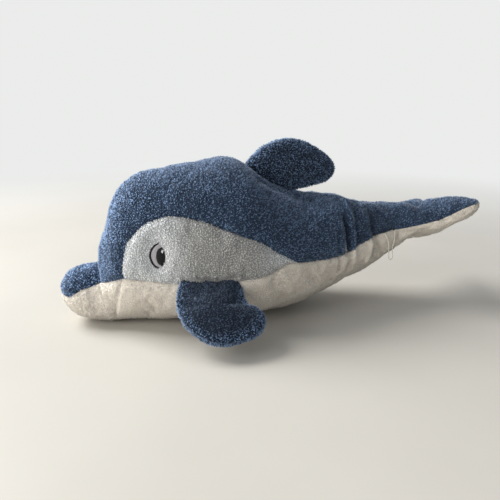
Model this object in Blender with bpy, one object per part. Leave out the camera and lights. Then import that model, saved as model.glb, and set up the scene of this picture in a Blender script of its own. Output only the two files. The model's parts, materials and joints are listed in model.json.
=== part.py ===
"""Plush dolphin: plush panels sewn over soft stuffing, lying on its belly and chin.

Metres, +Z up. The snout points to -X and the dolphin's left side is at -Y. Y = 0 is the body's plane of
symmetry. The origin is the middle of the flat patch that the belly rests on.
"""

import math

import bmesh
import bpy
from mathutils import Matrix, Vector

MM = 0.001

# Cloth, seams and clearances
PLUSH = 3.0 * MM  # back, face and fins: cloth and pile together
NAP = 2.4 * MM  # shorter cream plush of the belly and chin
SEAM_GAP = 0.5 * MM  # between the edges of two panels that are sewn together
STUFFING_GAP = 1.6 * MM  # between the stuffing and the cloth round it
ROOT_GAP = 0.6 * MM  # between a fin's root and the body that it is sewn to
THREAD = 1.1 * MM  # diameter of the thread loop under the tail

# Body sections, in millimetres: top x, top z, bottom x, bottom z, half width.
# A bottom below zero is pressed flat where the body lies on its belly.
SNOUT = (
    (-173.6, 39.5, -173.4, 35.0, 2.2),
    (-171.8, 46.5, -170.6, 28.0, 10.0),
    (-167.0, 55.0, -165.0, 18.0, 19.5),
    (-159.0, 60.5, -157.0, 9.5, 26.5),
    (-147.0, 64.0, -145.0, 4.0, 31.0),
    (-138.0, 65.0, -132.0, 1.5, 33.0),
    (-130.0, 65.0, -119.0, 0.8, 35.0),
)
TRUNK = (
    (-130.0, 65.0, -119.0, 0.8, 35.0),
    (-127.5, 84.0, -108.0, 0.4, 42.0),
    (-121.5, 105.0, -97.0, 0.0, 49.0),
    (-112.0, 134.0, -85.0, -1.0, 55.0),
    (-97.0, 155.0, -73.0, -1.5, 60.0),
    (-76.0, 167.5, -58.0, -2.5, 66.0),
    (-50.0, 172.0, -38.0, -2.5, 73.0),
    (-20.0, 176.0, -15.0, -2.5, 79.0),
    (10.0, 180.5, 12.0, -2.5, 82.0),
    (30.0, 177.0, 34.0, -2.5, 83.0),
    (48.0, 164.5, 55.0, -1.5, 80.0),
    (70.0, 151.5, 80.0, 1.5, 74.0),
    (97.0, 140.5, 108.0, 8.0, 65.0),
    (128.0, 137.0, 136.0, 18.5, 55.0),
    (152.0, 133.0, 158.0, 28.5, 47.0),
    (172.0, 126.5, 180.0, 38.5, 41.0),
    (197.0, 121.5, 202.0, 49.5, 34.0),
    (222.0, 121.0, 224.0, 61.0, 30.0),
)
WIDEST = 0.41  # height of a section's widest point, as a share of its height
TOP_ROUND = 2.0  # exponent of the section above its widest point, 2 for an ellipse
LOW_ROUND = 2.3  # the same below it, where the belly is flatter

# Seams in the side view, in millimetres: x, z
CORNER = (-127.8, 51.0)  # where the lip line meets the snout's base
CHEEK = (-101.6, 62.0)  # the face patch's lower front corner
BROW = (-96.0, 100.7)  # its upper front corner
PATCH_END = (70.5, 80.5)  # its rear end
LIP_LINE = ((-173.5, 37.2), (-169.5, 35.0), (-163.2, 35.3), (-155.7, 39.6), (-147.3, 44.5), (-138.7, 47.1), CORNER)
NECK_LINE = (CORNER, (-117.0, 56.0), (-107.0, 60.3), CHEEK)
PATCH_TOP = (
    BROW, (-81.4, 116.7), (-63.9, 125.5), (-46.9, 128.3), (-18.4, 123.0), (9.8, 111.5), (39.4, 100.3), (60.8, 86.5),
    PATCH_END,
)
PATCH_LOW = (
    CHEEK, (-74.7, 59.5), (-45.4, 57.2), (-14.1, 58.5), (18.0, 60.0), (41.5, 62.6), (56.3, 66.2), (68.0, 77.0),
)
TAIL_LINE = (
    PATCH_END, (81.4, 73.0), (108.5, 71.4), (131.0, 71.0), (153.2, 74.0), (166.0, 81.0), (185.0, 87.6),
    (207.3, 92.3), (223.5, 95.0),
)

# Dorsal fin in the side view, in millimetres: x, z
DORSAL = (
    (39.0, 170.0), (48.0, 181.0), (62.0, 192.0), (84.0, 199.0), (104.0, 197.5), (126.0, 188.0), (142.0, 175.0),
    (146.5, 162.5), (137.0, 151.0), (116.0, 145.5), (97.0, 141.0), (85.0, 128.0), (55.0, 140.0), (38.0, 155.0),
)
DORSAL_MIDDLE = (90.0, 168.0)
DORSAL_HALF = 12.0 * MM  # half its thickness
DORSAL_LEAN = math.radians(-3.0)

# Flipper in its own plane, in millimetres: back along the body, out from the root
FLIPPER = (
    (-32.0, -6.0), (-36.0, 12.0), (-35.0, 28.0), (-28.0, 46.0), (-11.0, 63.0), (9.0, 68.5), (37.0, 61.5),
    (47.5, 50.0), (49.0, 40.0), (44.0, 31.0), (37.0, 26.5), (33.0, 17.0), (32.0, 4.0), (30.0, -14.0),
    (-2.0, -19.0), (-27.0, -15.0),
)
FLIPPER_MIDDLE = (3.0, 26.0)
FLIPPER_HALF = 9.0 * MM
FLIPPER_ROOT = Vector((-13.0, -78.0, 53.5)) * MM
FLIPPER_DROOP = math.radians(32.0)

# Half of the flukes in their own plane, in millimetres: back along the tail, out from the middle
FLUKE_RIM = (
    (-18.0, 27.0), (0.0, 30.0), (20.0, 41.0), (42.0, 56.0), (63.0, 68.0), (77.0, 72.0), (84.0, 66.0), (80.0, 50.0),
    (71.0, 28.0), (64.0, 8.0),
)
FLUKE_NOTCH = 61.0 * MM
FLUKE_ROOT_HALF = 29.5 * MM  # half thickness where they leave the tail
FLUKE_LOBE_HALF = 17.0 * MM  # half thickness where the lobes part
FLUKE_PITCH = math.radians(16.0)
FLUKE_ROLL = math.radians(12.0)  # the left lobe lies higher
FLUKE_SEAT = Vector((223.0, 0.0, 91.0)) * MM

# Left eye in the side view, in millimetres: x, z
EYE_OUTER = (
    (-64.0, 102.2), (-69.4, 98.8), (-73.6, 92.8), (-74.2, 86.0), (-71.6, 78.8), (-66.6, 74.4), (-61.4, 74.6),
)
EYE_INNER = (
    (-64.6, 100.6), (-68.6, 97.4), (-71.8, 92.2), (-72.2, 86.4), (-70.0, 80.0), (-65.8, 76.4), (-61.8, 76.4),
)
PUPIL_FRONT = ((-61.8, 97.2), (-65.6, 94.4), (-67.4, 87.4), (-66.0, 80.6), (-62.6, 77.8))
PUPIL_REAR = ((-61.0, 97.0), (-58.6, 93.2), (-57.8, 87.2), (-58.8, 81.2), (-61.8, 77.9))
GLINT_FRONT = ((-61.2, 94.6), (-61.9, 92.6), (-61.4, 90.6))
GLINT_REAR = ((-60.8, 94.6), (-59.9, 92.6), (-60.8, 90.6))
STITCH = 0.9 * MM  # thickness of the embroidery
PAD_GAP = 0.3 * MM  # under and round each embroidered shape

# Thread loop under the tail, in millimetres: the ends at the seam in the side view, and how it hangs between them
THREAD_ENDS = ((201.4, 90.4), (215.6, 92.6))
THREAD_HANG = (
    (204.6, -35.8, 84.0), (206.5, -36.5, 76.0), (207.5, -36.0, 68.0), (209.0, -36.0, 61.0), (211.5, -35.8, 58.6),
    (212.6, -35.5, 61.5), (211.4, -35.0, 68.5), (213.0, -34.5, 76.0), (215.0, -33.4, 84.5),
)

# Mesh fineness
HALF_ACROSS = 10  # faces from the back's midline to its lower edge
BELLY_ACROSS = 12
SNOUT_ACROSS = 5
PATCH_ACROSS = 5
STUFFING_ROUND = 22  # faces round the stuffing
RIM_POINTS = 20  # round a fin
RINGS = (0.5, 0.84)  # places of a fin's rings, as shares of the way to its rim
FLUKE_SHARES = (0.0, 0.3, 0.6, 0.84, 1.0)  # the same for a fluke, from the middle to its rim
FLUKE_CORE = 0.86  # how far its stuffing reaches

BLUE = (0.085, 0.155, 0.285)
GREY = (0.56, 0.60, 0.62)
CREAM = (0.78, 0.73, 0.67)
WHITE = (0.85, 0.85, 0.84)
BLACK = (0.012, 0.012, 0.016)
LILAC = (0.52, 0.50, 0.56)


def spline(points, at):
    """The point at a place along a Catmull-Rom curve, counted in points."""
    last = len(points) - 1
    i = max(0, min(int(at), last - 1))
    t = at - i
    b, c = points[i], points[i + 1]
    a = points[i - 1] if i > 0 else [2 * p - q for p, q in zip(b, c)]
    d = points[i + 2] if i + 2 <= last else [2 * q - p for p, q in zip(b, c)]
    return [
        0.5 * (2 * q + (r - p) * t + (2 * p - 5 * q + 4 * r - s) * t**2 + (3 * q - p - 3 * r + s) * t**3)
        for p, q, r, s in zip(a, b, c, d)
    ]


def smooth(points, count):
    """count + 1 places along a smooth line, in metres."""
    last = len(points) - 1
    return [[v * MM for v in spline(points, last * i / count)] for i in range(count + 1)]


def ring_of(points, count):
    """count places round a closed smooth line, in metres."""
    total = len(points)
    looped = [points[(i - 2) % total] for i in range(total + 5)]
    return [[v * MM for v in spline(looped, 2 + total * i / count)] for i in range(count)]


def mix(a, b, share):
    return tuple(p + (q - p) * share for p, q in zip(a, b))


def power(value, exponent):
    return math.copysign(abs(value) ** exponent, value)


class Skin:
    """The outer surface through a row of sections: u counts the sections, theta goes round from the top by the left."""

    def __init__(self, sections):
        self.sections = [[v * MM for v in row] for row in sections]
        self.end = len(sections) - 1

    def section(self, u):
        """The widest line's place, the unit vector to the top, and the reach up, down and sideways."""
        top_x, top_z, low_x, low_z, half = spline(self.sections, u)
        low, top = Vector((low_x, 0, low_z)), Vector((top_x, 0, top_z))
        height = (top - low).length
        rise = (top - low) / height
        return low + rise * height * WIDEST, rise, height * (1 - WIDEST), height * WIDEST, half

    def point(self, u, theta):
        middle, rise, up, down, half = self.section(u)
        side, high = math.sin(theta), math.cos(theta)
        reach, roundness = (up, TOP_ROUND) if high > 0 else (down, LOW_ROUND)
        place = middle + rise * reach * power(high, 2 / roundness)
        return Vector((place.x, -half * power(side, 2 / roundness), max(place.z, 0)))

    def normal(self, u, theta):
        du, dtheta = 0.02, 0.02
        along = self.point(u + du, theta) - self.point(u - du, theta)
        around = self.point(u, theta + dtheta) - self.point(u, theta - dtheta)
        return around.cross(along).normalized()

    def inside(self, u, theta, depth):
        return self.point(u, theta) - self.normal(u, theta) * depth

    def locate(self, x, z):
        """u and theta of the point on the left side that the side view shows at x, z."""

        def ahead(u):
            middle, rise, *_ = self.section(u)
            return (x - middle.x) * rise.z - (z - middle.z) * rise.x

        low, high = 0.0, float(self.end)
        for _ in range(40):
            half_way = (low + high) / 2
            low, high = (half_way, high) if ahead(half_way) > 0 else (low, half_way)
        middle, rise, up, down, _ = self.section(low)
        above = (x - middle.x) * rise.x + (z - middle.z) * rise.z
        reach, roundness = (up, TOP_ROUND) if above > 0 else (down, LOW_ROUND)
        return low, math.acos(power(max(-1.0, min(1.0, above / reach)), roundness / 2))


def new_object(name, bm, material, where):
    """Turns a bmesh into an object with its faces pointing out."""
    bmesh.ops.recalc_face_normals(bm, faces=bm.faces)
    if bm.calc_volume(signed=True) < 0:
        bmesh.ops.reverse_faces(bm, faces=bm.faces)
    mesh = bpy.data.meshes.new(name)
    bm.to_mesh(mesh)
    bm.free()
    mesh.shade_smooth()
    if material:
        mesh.materials.append(material)
    made = bpy.data.objects.new(name, mesh)
    where.objects.link(made)
    return made


def sheet(name, outer, inner, material, where):
    """A closed body between two grids of points that match."""
    bm = bmesh.new()
    top = [[bm.verts.new(p) for p in row] for row in outer]
    low = [[bm.verts.new(p) for p in row] for row in inner]
    rows, columns = len(outer), len(outer[0])
    for i in range(rows - 1):
        for j in range(columns - 1):
            for grid in (top, low):
                bm.faces.new((grid[i][j], grid[i][j + 1], grid[i + 1][j + 1], grid[i + 1][j]))
    border = [(0, j) for j in range(columns - 1)] + [(i, columns - 1) for i in range(rows - 1)]
    border += [(rows - 1, j) for j in range(columns - 1, 0, -1)] + [(i, 0) for i in range(rows - 1, 0, -1)]
    for (i, j), (k, m) in zip(border, border[1:] + border[:1]):
        bm.faces.new((top[i][j], top[k][m], low[k][m], low[i][j]))
    return new_object(name, bm, material, where)


def loft(name, rings, material, where, first=None, last=None):
    """A closed body through rings of points, ended by a pole or by a flat face."""
    bm = bmesh.new()
    loops = [[bm.verts.new(p) for p in ring] for ring in rings]
    for one, two in zip(loops, loops[1:]):
        for k in range(len(one)):
            n = (k + 1) % len(one)
            bm.faces.new((one[k], one[n], two[n], two[k]))
    for pole, loop in ((first, loops[0]), (last, loops[-1])):
        if pole is None:
            bm.faces.new(loop)
            continue
        tip = bm.verts.new(pole)
        for k in range(len(loop)):
            bm.faces.new((loop[k], loop[(k + 1) % len(loop)], tip))
    return new_object(name, bm, material, where)


def mirrored(made, name):
    """The right-hand copy of a left-hand piece."""
    bm = bmesh.new()
    bm.from_mesh(made.data)
    bm.transform(Matrix.Scale(-1, 4, Vector((0, 1, 0))))
    return new_object(name, bm, made.data.materials[0], made.users_collection[0])


def drawn_in(grid, facing):
    """The grid with its borders moved inwards by half the seam gap, so that sewn neighbours don't touch."""
    rows, columns = len(grid), len(grid[0])

    def at(i, j):
        return grid[max(0, min(i, rows - 1))][max(0, min(j, columns - 1))]

    moved = [[p.copy() for p in row] for row in grid]
    for i in range(rows):
        for j in range(columns):
            borders = (
                (j == 0, at(i + 1, j) - at(i - 1, j), at(i, j + 1)),
                (j == columns - 1, at(i + 1, j) - at(i - 1, j), at(i, j - 1)),
                (i == 0, at(i, j + 1) - at(i, j - 1), at(i + 1, j)),
                (i == rows - 1, at(i, j + 1) - at(i, j - 1), at(i - 1, j)),
            )
            for here, along, inner in borders:
                if here:
                    across = facing[i][j].cross(along).normalized()
                    moved[i][j] += across * math.copysign(SEAM_GAP / 2, across.dot(inner - grid[i][j]))
    return moved


def panel(name, skin, upper, lower, across, cloth, material, where):
    """A panel of cloth between two edges, which are matching lists of (u, theta)."""
    spots = [[mix(a, b, j / across) for j in range(across + 1)] for a, b in zip(upper, lower)]
    facing = [[skin.normal(*spot) for spot in row] for row in spots]
    outer = drawn_in([[skin.point(*spot) for spot in row] for row in spots], facing)
    inner = [[p - n * cloth for p, n in zip(points, normals)] for points, normals in zip(outer, facing)]
    return sheet(name, outer, inner, material, where)


def seam(skin, line, count):
    return [skin.locate(x, z) for x, z in smooth(line, count)]


def top_edge(skin, lower):
    """A spot on the top midline for each spot of a lower edge, spread by the lower edge's length."""
    places = [skin.point(*spot) for spot in lower]
    run = [0.0]
    for a, b in zip(places, places[1:]):
        run.append(run[-1] + (b - a).length)
    return [((skin.end * r / run[-1] + u) / 2, 0.0) for r, (u, _) in zip(run, lower)]


def other_side(edge):
    return [(u, 2 * math.pi - theta) for u, theta in edge]


def make_body(trunk, snout, colours, where):
    """The head, body and tail panels, the snout's panels and the stuffing in them."""
    base_theta = snout.locate(*[v * MM for v in CORNER])[1]
    lip = [(0.0, math.pi / 2)] + seam(snout, LIP_LINE, 7)[1:-1] + [(float(snout.end), base_theta)]
    neck = [(0.0, base_theta)] + seam(trunk, NECK_LINE, 3)[1:]
    patch_top = seam(trunk, PATCH_TOP, 14)
    patch_low = seam(trunk, PATCH_LOW, 14)
    front = [mix(neck[-1], patch_top[0], k / PATCH_ACROSS) for k in range(PATCH_ACROSS + 1)]
    tail = seam(trunk, TAIL_LINE, 13)
    tail[-1] = (float(trunk.end), tail[-1][1])

    blue_edge = neck + front[1:] + patch_top[1:] + tail[1:]
    back = panel("back_left", trunk, top_edge(trunk, blue_edge), blue_edge, HALF_ACROSS, PLUSH, colours["blue"], where)
    mirrored(back, "back_right")
    patch = panel("face_patch_left", trunk, patch_top, patch_low, PATCH_ACROSS, PLUSH, colours["grey"], where)
    mirrored(patch, "face_patch_right")
    cream_edge = neck + patch_low[1:] + tail
    panel("belly", trunk, cream_edge, other_side(cream_edge), BELLY_ACROSS, NAP, colours["cream"], where)

    top = panel("snout_top_left", snout, [(u, 0.0) for u, _ in lip], lip, SNOUT_ACROSS, PLUSH, colours["blue"], where)
    mirrored(top, "snout_top_right")
    panel("chin", snout, lip, other_side(lip), 2 * SNOUT_ACROSS, NAP, colours["cream"], where)
    make_stuffing(trunk, snout, colours["white"], where)


def make_stuffing(trunk, snout, material, where):
    """The body's stuffing, one soft mass from the snout to the tail seam."""
    depth = PLUSH + STUFFING_GAP

    def ring(skin, u, inset):
        return [skin.inside(u, 2 * math.pi * k / STUFFING_ROUND, inset) for k in range(STUFFING_ROUND)]

    rings = [ring(snout, u, depth) for u in (1.0, 2.0, 3.0, 4.0, 5.0)]
    rings.append(ring(trunk, 0.0, 2 * depth))
    rings += [ring(trunk, 0.5 * k, depth) for k in range(1, 2 * trunk.end)]
    rings.append(ring(trunk, trunk.end - 0.05, depth))
    loft("body_stuffing", rings, material, where)


def body_cutter(trunk, cutters):
    """The body's outside with the root gap round it, which cuts the fins' roots."""
    rings = []
    for k in range(6 * trunk.end + 1):
        rings.append([trunk.inside(k / 6, 2 * math.pi * m / 48, -ROOT_GAP) for m in range(48)])
    rings.append([place + Vector((ROOT_GAP, 0, 0)) for place in rings[-1]])
    cutter = loft("body_cutter", rings, None, cutters)
    cutter.hide_render = True
    cutter.display_type = "WIRE"
    return cutter


def cut(made, cutter):
    modifier = made.modifiers.new("root", "BOOLEAN")
    modifier.operation = "DIFFERENCE"
    modifier.solver = "EXACT"
    modifier.object = cutter


def dome(share, half):
    """Half thickness of a stuffed fin at a share of the way from its middle to its rim."""
    return PLUSH + (half - PLUSH) * math.sqrt(max(0.0, 1 - share**2.5))


def make_fin(names, outline, middle, half, frame, colours, cutter, where):
    """Two plies that meet at the rim and the filling between them. frame takes the fin's plane to the world."""
    rim = [Vector((a, b)) for a, b in ring_of(outline, RIM_POINTS)]
    centre = Vector(middle) * MM

    def ring(share, height):
        return [frame @ Vector((*(centre + (p - centre) * share), height)) for p in rim]

    def inner(share):
        return max(dome(share, half) - PLUSH, SEAM_GAP / 2)

    shares = (*RINGS, 1.0)
    for name, side in zip(names[:2], (1, -1)):
        outside = [ring(s, side * dome(s, half)) for s in shares]
        inside = [ring(s, side * inner(s)) for s in reversed(shares)]
        poles = [frame @ Vector((*centre, side * h)) for h in (dome(0, half), inner(0))]
        cut(loft(name, outside + inside, colours["blue"], where, *poles), cutter)
    core = [(s, dome(s, half) - PLUSH - STUFFING_GAP) for s in RINGS]
    rings = [ring(s, h) for s, h in core] + [ring(s, -h) for s, h in reversed(core)]
    deep = dome(0, half) - PLUSH - STUFFING_GAP
    poles = [frame @ Vector((*centre, h)) for h in (deep, -deep)]
    cut(loft(names[2], rings, colours["white"], where, *poles), cutter)


def make_dorsal_fin(colours, cutter, where):
    upright = Matrix(((1, 0, 0, 0), (0, 0, -1, 0), (0, 1, 0, 0), (0, 0, 0, 1)))
    foot = Matrix.Translation(Vector((0, 0, DORSAL_MIDDLE[1])) * MM)
    lean = foot @ Matrix.Rotation(DORSAL_LEAN, 4, "X") @ foot.inverted()
    names = ("dorsal_fin_left", "dorsal_fin_right", "dorsal_fin_stuffing")
    make_fin(names, DORSAL, DORSAL_MIDDLE, DORSAL_HALF, lean @ upright, colours, cutter, where)


def make_flipper(side, colours, cutter, where):
    """A flipper that leaves the cheek's lower seam and droops outwards. side is -1 on the left and 1 on the right."""
    root = Vector((FLIPPER_ROOT.x, -side * FLIPPER_ROOT.y, FLIPPER_ROOT.z))
    out = Vector((0, side * math.cos(FLIPPER_DROOP), -math.sin(FLIPPER_DROOP)))
    up = Vector((0, side * math.sin(FLIPPER_DROOP), math.cos(FLIPPER_DROOP)))
    frame = Matrix.Translation(root) @ Matrix((Vector((1, 0, 0)), out, up)).transposed().to_4x4()
    tag = "left" if side < 0 else "right"
    names = [f"flipper_{tag}_{part}" for part in ("upper", "lower", "stuffing")]
    make_fin(names, FLIPPER, FLIPPER_MIDDLE, FLIPPER_HALF, frame, colours, cutter, where)


def make_flukes(colours, cutter, where):
    """The two lobes, blue above and cream below, with one filling through both."""
    turn = Matrix.Rotation(-FLUKE_PITCH, 4, "Y") @ Matrix.Rotation(-FLUKE_ROLL, 4, "X")
    frame = Matrix.Translation(FLUKE_SEAT) @ turn
    rim = [Vector(p) for p in smooth(FLUKE_RIM, 13)]
    front = rim[0].x
    middle = [front + (FLUKE_NOTCH - front) * k / (len(rim) - 1) for k in range(len(rim))]

    def height(a, share):
        """Half thickness along the middle at a, and how it falls towards the rim."""
        fade = min(1.0, max(0.0, a / FLUKE_NOTCH))
        deep = FLUKE_ROOT_HALF + (FLUKE_LOBE_HALF - FLUKE_ROOT_HALF) * fade * (2 - fade)
        return PLUSH + (deep - PLUSH) * math.sqrt(1 - share**3)

    def grid(side, depth, level, least):
        rows = []
        for a, edge in zip(middle, rim):
            row = []
            for share in FLUKE_SHARES:
                place = Vector((a, 0)).lerp(edge, share)
                high = max(height(a, share) - depth, least)
                row.append(frame @ Vector((place.x, -side * max(place.y, SEAM_GAP / 2), level * high)))
            rows.append(row)
        return rows

    for tag, side in (("left", 1), ("right", -1)):
        for part, level, cloth, colour in (("top", 1, PLUSH, "blue"), ("bottom", -1, NAP, "cream")):
            outer = grid(side, 0.0, level, 0.0)
            inner = grid(side, cloth, level, SEAM_GAP / 2)
            cut(sheet(f"fluke_{part}_{tag}", outer, inner, colours[colour], where), cutter)
    inside = [*FLUKE_SHARES[1:3], FLUKE_CORE]
    core = [-share for share in reversed(inside)] + [0.0] + inside
    faces = []
    for level in (1, -1):
        rows = []
        for a, edge in list(zip(middle, rim))[:-1]:
            row = []
            for share in core:
                place = Vector((a, 0)).lerp(edge, abs(share))
                high = height(a, abs(share)) - PLUSH - STUFFING_GAP
                row.append(frame @ Vector((place.x, -math.copysign(place.y, share), level * high)))
            rows.append(row)
        faces.append(rows)
    cut(sheet("fluke_stuffing", *faces, colours["white"], where), cutter)


def make_eye(trunk, colours, where):
    """Embroidered shapes raised a little above the cheek: outline, white, pupil and glint."""

    def shape(name, front, rear, rows, across, lift, thickness, material):
        one, two = smooth(front, rows), smooth(rear, rows)
        spots = [[trunk.locate(*mix(a, b, j / across)) for j in range(across + 1)] for a, b in zip(one, two)]
        low = [[trunk.inside(*spot, -lift) for spot in row] for row in spots]
        high = [[trunk.inside(*spot, -lift - thickness) for spot in row] for row in spots]
        made = sheet(f"{name}_left", high, low, material, where)
        mirrored(made, f"{name}_right")

    def beside(line, gap):
        """The line moved to its left by the gap, seen with x to the right and z up."""
        moved = []
        for k, (x, z) in enumerate(line):
            before, after = line[max(k - 1, 0)], line[min(k + 1, len(line) - 1)]
            along = Vector((after[0] - before[0], after[1] - before[1])).normalized()
            moved.append((x - along.y * gap / MM, z + along.x * gap / MM))
        return moved

    shape("eye_outline", EYE_OUTER, EYE_INNER, 12, 1, PAD_GAP, STITCH, colours["black"])
    white_rear = [spline(PUPIL_FRONT, 4 * k / 6) for k in range(7)]
    white = (beside(EYE_INNER, PAD_GAP), beside(white_rear, -PAD_GAP))
    shape("eye_white", *white, 10, 1, PAD_GAP, STITCH, colours["lilac"])
    shape("eye_pupil", PUPIL_FRONT, PUPIL_REAR, 10, 2, PAD_GAP, STITCH, colours["black"])
    shape("eye_glint", GLINT_FRONT, GLINT_REAR, 4, 1, 2 * PAD_GAP + STITCH, STITCH / 2, colours["white"])


def make_thread_loop(trunk, material, where):
    """A loop of thin thread whose two ends come out of the seam along the tail."""
    curve = bpy.data.curves.new("thread_loop", "CURVE")
    curve.dimensions = "3D"
    curve.bevel_depth = THREAD / 2
    curve.bevel_resolution = 2
    curve.use_fill_caps = True
    ends = [trunk.inside(*trunk.locate(x * MM, z * MM), -THREAD / 2 - PAD_GAP) / MM for x, z in THREAD_ENDS]
    route = smooth((ends[0], *THREAD_HANG, ends[1]), 24)
    line = curve.splines.new("POLY")
    line.points.add(len(route) - 1)
    for point, place in zip(line.points, route):
        point.co = (*place, 1.0)
    curve.materials.append(material)
    where.objects.link(bpy.data.objects.new("thread_loop", curve))


def new_material(name, colour, roughness):
    made = bpy.data.materials.new(name)
    made.use_nodes = True
    shader = made.node_tree.nodes["Principled BSDF"]
    shader.inputs["Base Color"].default_value = (*colour, 1.0)
    shader.inputs["Roughness"].default_value = roughness
    shader.inputs["Metallic"].default_value = 0.0
    return made


def main():
    for old in list(bpy.data.objects):
        bpy.data.objects.remove(old)
    parts = bpy.data.collections.new("plush_dolphin")
    cutters = bpy.data.collections.new("cutters")
    for group in (parts, cutters):
        bpy.context.scene.collection.children.link(group)
    colours = {
        "blue": new_material("blue_plush", BLUE, 0.9),
        "grey": new_material("grey_plush", GREY, 0.9),
        "cream": new_material("cream_plush", CREAM, 0.85),
        "white": new_material("stuffing_fibre", WHITE, 0.95),
        "black": new_material("black_embroidery", BLACK, 0.45),
        "lilac": new_material("lilac_embroidery", LILAC, 0.5),
    }
    trunk, snout = Skin(TRUNK), Skin(SNOUT)
    cutter = body_cutter(trunk, cutters)
    make_body(trunk, snout, colours, parts)
    make_dorsal_fin(colours, cutter, parts)
    for side in (-1, 1):
        make_flipper(side, colours, cutter, parts)
    make_flukes(colours, cutter, parts)
    make_eye(trunk, colours, parts)
    make_thread_loop(trunk, colours["cream"], parts)


main()
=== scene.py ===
import json
import math

import bmesh
import bpy
import numpy as np
from mathutils import Matrix, Vector, kdtree, noise

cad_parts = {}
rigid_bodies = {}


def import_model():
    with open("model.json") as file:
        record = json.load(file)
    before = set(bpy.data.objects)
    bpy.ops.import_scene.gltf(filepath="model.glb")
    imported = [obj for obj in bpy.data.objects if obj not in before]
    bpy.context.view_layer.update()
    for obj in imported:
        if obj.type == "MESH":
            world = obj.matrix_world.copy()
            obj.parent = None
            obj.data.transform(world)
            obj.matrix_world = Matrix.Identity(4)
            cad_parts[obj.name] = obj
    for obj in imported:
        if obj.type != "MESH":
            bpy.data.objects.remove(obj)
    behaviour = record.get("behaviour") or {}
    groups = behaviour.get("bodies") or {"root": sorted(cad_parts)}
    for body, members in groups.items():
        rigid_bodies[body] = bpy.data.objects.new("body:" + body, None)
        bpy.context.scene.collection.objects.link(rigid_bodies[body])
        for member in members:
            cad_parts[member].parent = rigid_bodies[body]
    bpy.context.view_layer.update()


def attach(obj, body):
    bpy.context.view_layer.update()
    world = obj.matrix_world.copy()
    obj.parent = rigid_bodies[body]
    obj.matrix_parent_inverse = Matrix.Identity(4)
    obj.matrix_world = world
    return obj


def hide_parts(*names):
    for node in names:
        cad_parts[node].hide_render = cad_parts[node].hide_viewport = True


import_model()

MM = 0.001

# ---- the toy's shape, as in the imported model, in millimetres ----
SNOUT = (
    (-173.6, 39.5, -173.4, 35.0, 2.2), (-171.8, 46.5, -170.6, 28.0, 10.0), (-167.0, 55.0, -165.0, 18.0, 19.5),
    (-159.0, 60.5, -157.0, 9.5, 26.5), (-147.0, 64.0, -145.0, 4.0, 31.0), (-138.0, 65.0, -132.0, 1.5, 33.0),
    (-130.0, 65.0, -119.0, 0.8, 35.0),
)
TRUNK = (
    (-130.0, 65.0, -119.0, 0.8, 35.0), (-127.5, 84.0, -108.0, 0.4, 42.0), (-121.5, 105.0, -97.0, 0.0, 49.0),
    (-112.0, 134.0, -85.0, -1.0, 55.0), (-97.0, 155.0, -73.0, -1.5, 60.0), (-76.0, 167.5, -58.0, -2.5, 66.0),
    (-50.0, 172.0, -38.0, -2.5, 73.0), (-20.0, 176.0, -15.0, -2.5, 79.0), (10.0, 180.5, 12.0, -2.5, 82.0),
    (30.0, 177.0, 34.0, -2.5, 83.0), (48.0, 164.5, 55.0, -0.5, 80.0), (70.0, 151.5, 80.0, 3.2, 74.0),
    (97.0, 140.5, 108.0, 10.0, 65.0), (128.0, 137.0, 136.0, 20.0, 55.0), (152.0, 133.0, 158.0, 29.5, 47.0),
    (172.0, 126.5, 180.0, 38.5, 41.0), (197.0, 121.5, 202.0, 49.5, 34.0), (222.0, 121.0, 224.0, 61.0, 30.0),
)
WIDEST = 0.41
TOP_ROUND, LOW_ROUND = 2.0, 2.05
CORNER, CHEEK, BROW, PATCH_END = (-127.8, 51.0), (-101.6, 62.0), (-96.0, 100.7), (82.5, 73.4)
LIP_LINE = ((-173.5, 37.2), (-169.5, 35.0), (-163.2, 35.3), (-155.7, 39.6), (-147.3, 44.5), (-138.7, 47.1), CORNER)
NECK_LINE = (CORNER, (-117.0, 56.0), (-107.0, 60.3), CHEEK)
FRONT_LINE = (CHEEK, (-102.5, 70.6), (-101.9, 79.2), (-99.7, 90.8), BROW)
PATCH_TOP = (
    BROW, (-81.4, 116.7), (-63.9, 125.5), (-46.9, 128.3), (-18.4, 123.0), (9.8, 111.5), (39.4, 100.3), (60.8, 86.5),
    (71.5, 80.0), PATCH_END,
)
PATCH_LOW = (
    CHEEK, (-74.7, 59.5), (-45.4, 57.2), (-14.1, 58.5), (18.0, 60.0), (41.5, 62.6), (56.3, 66.2), (66.0, 72.0),
    (74.0, 73.8), PATCH_END,
)
TAIL_LINE = (
    PATCH_END, (94.0, 72.0), (108.5, 71.4), (131.0, 71.0), (153.2, 74.0), (166.0, 81.0), (185.0, 87.6),
    (207.3, 92.3), (223.5, 95.0),
)
DORSAL = (
    (39.0, 170.0), (48.0, 181.0), (62.0, 192.0), (84.0, 199.0), (104.0, 197.5), (126.0, 188.0), (142.0, 175.0),
    (146.5, 162.5), (137.0, 151.0), (116.0, 145.5), (97.0, 141.0), (85.0, 128.0), (55.0, 140.0), (38.0, 155.0),
)
FLIPPER = (
    (-32.0, -6.0), (-36.0, 12.0), (-35.0, 28.0), (-28.0, 46.0), (-11.0, 63.0), (9.0, 68.5), (37.0, 61.5),
    (47.5, 50.0), (49.0, 40.0), (44.0, 31.0), (37.0, 26.5), (33.0, 17.0), (32.0, 4.0), (30.0, -14.0), (-2.0, -19.0),
    (-27.0, -15.0),
)
FLUKE_RIM = (
    (-18.0, 27.0), (0.0, 30.0), (20.0, 41.0), (42.0, 56.0), (63.0, 68.0), (77.0, 72.0), (84.0, 66.0), (80.0, 50.0),
    (71.0, 28.0), (64.0, 8.0),
)
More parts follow.
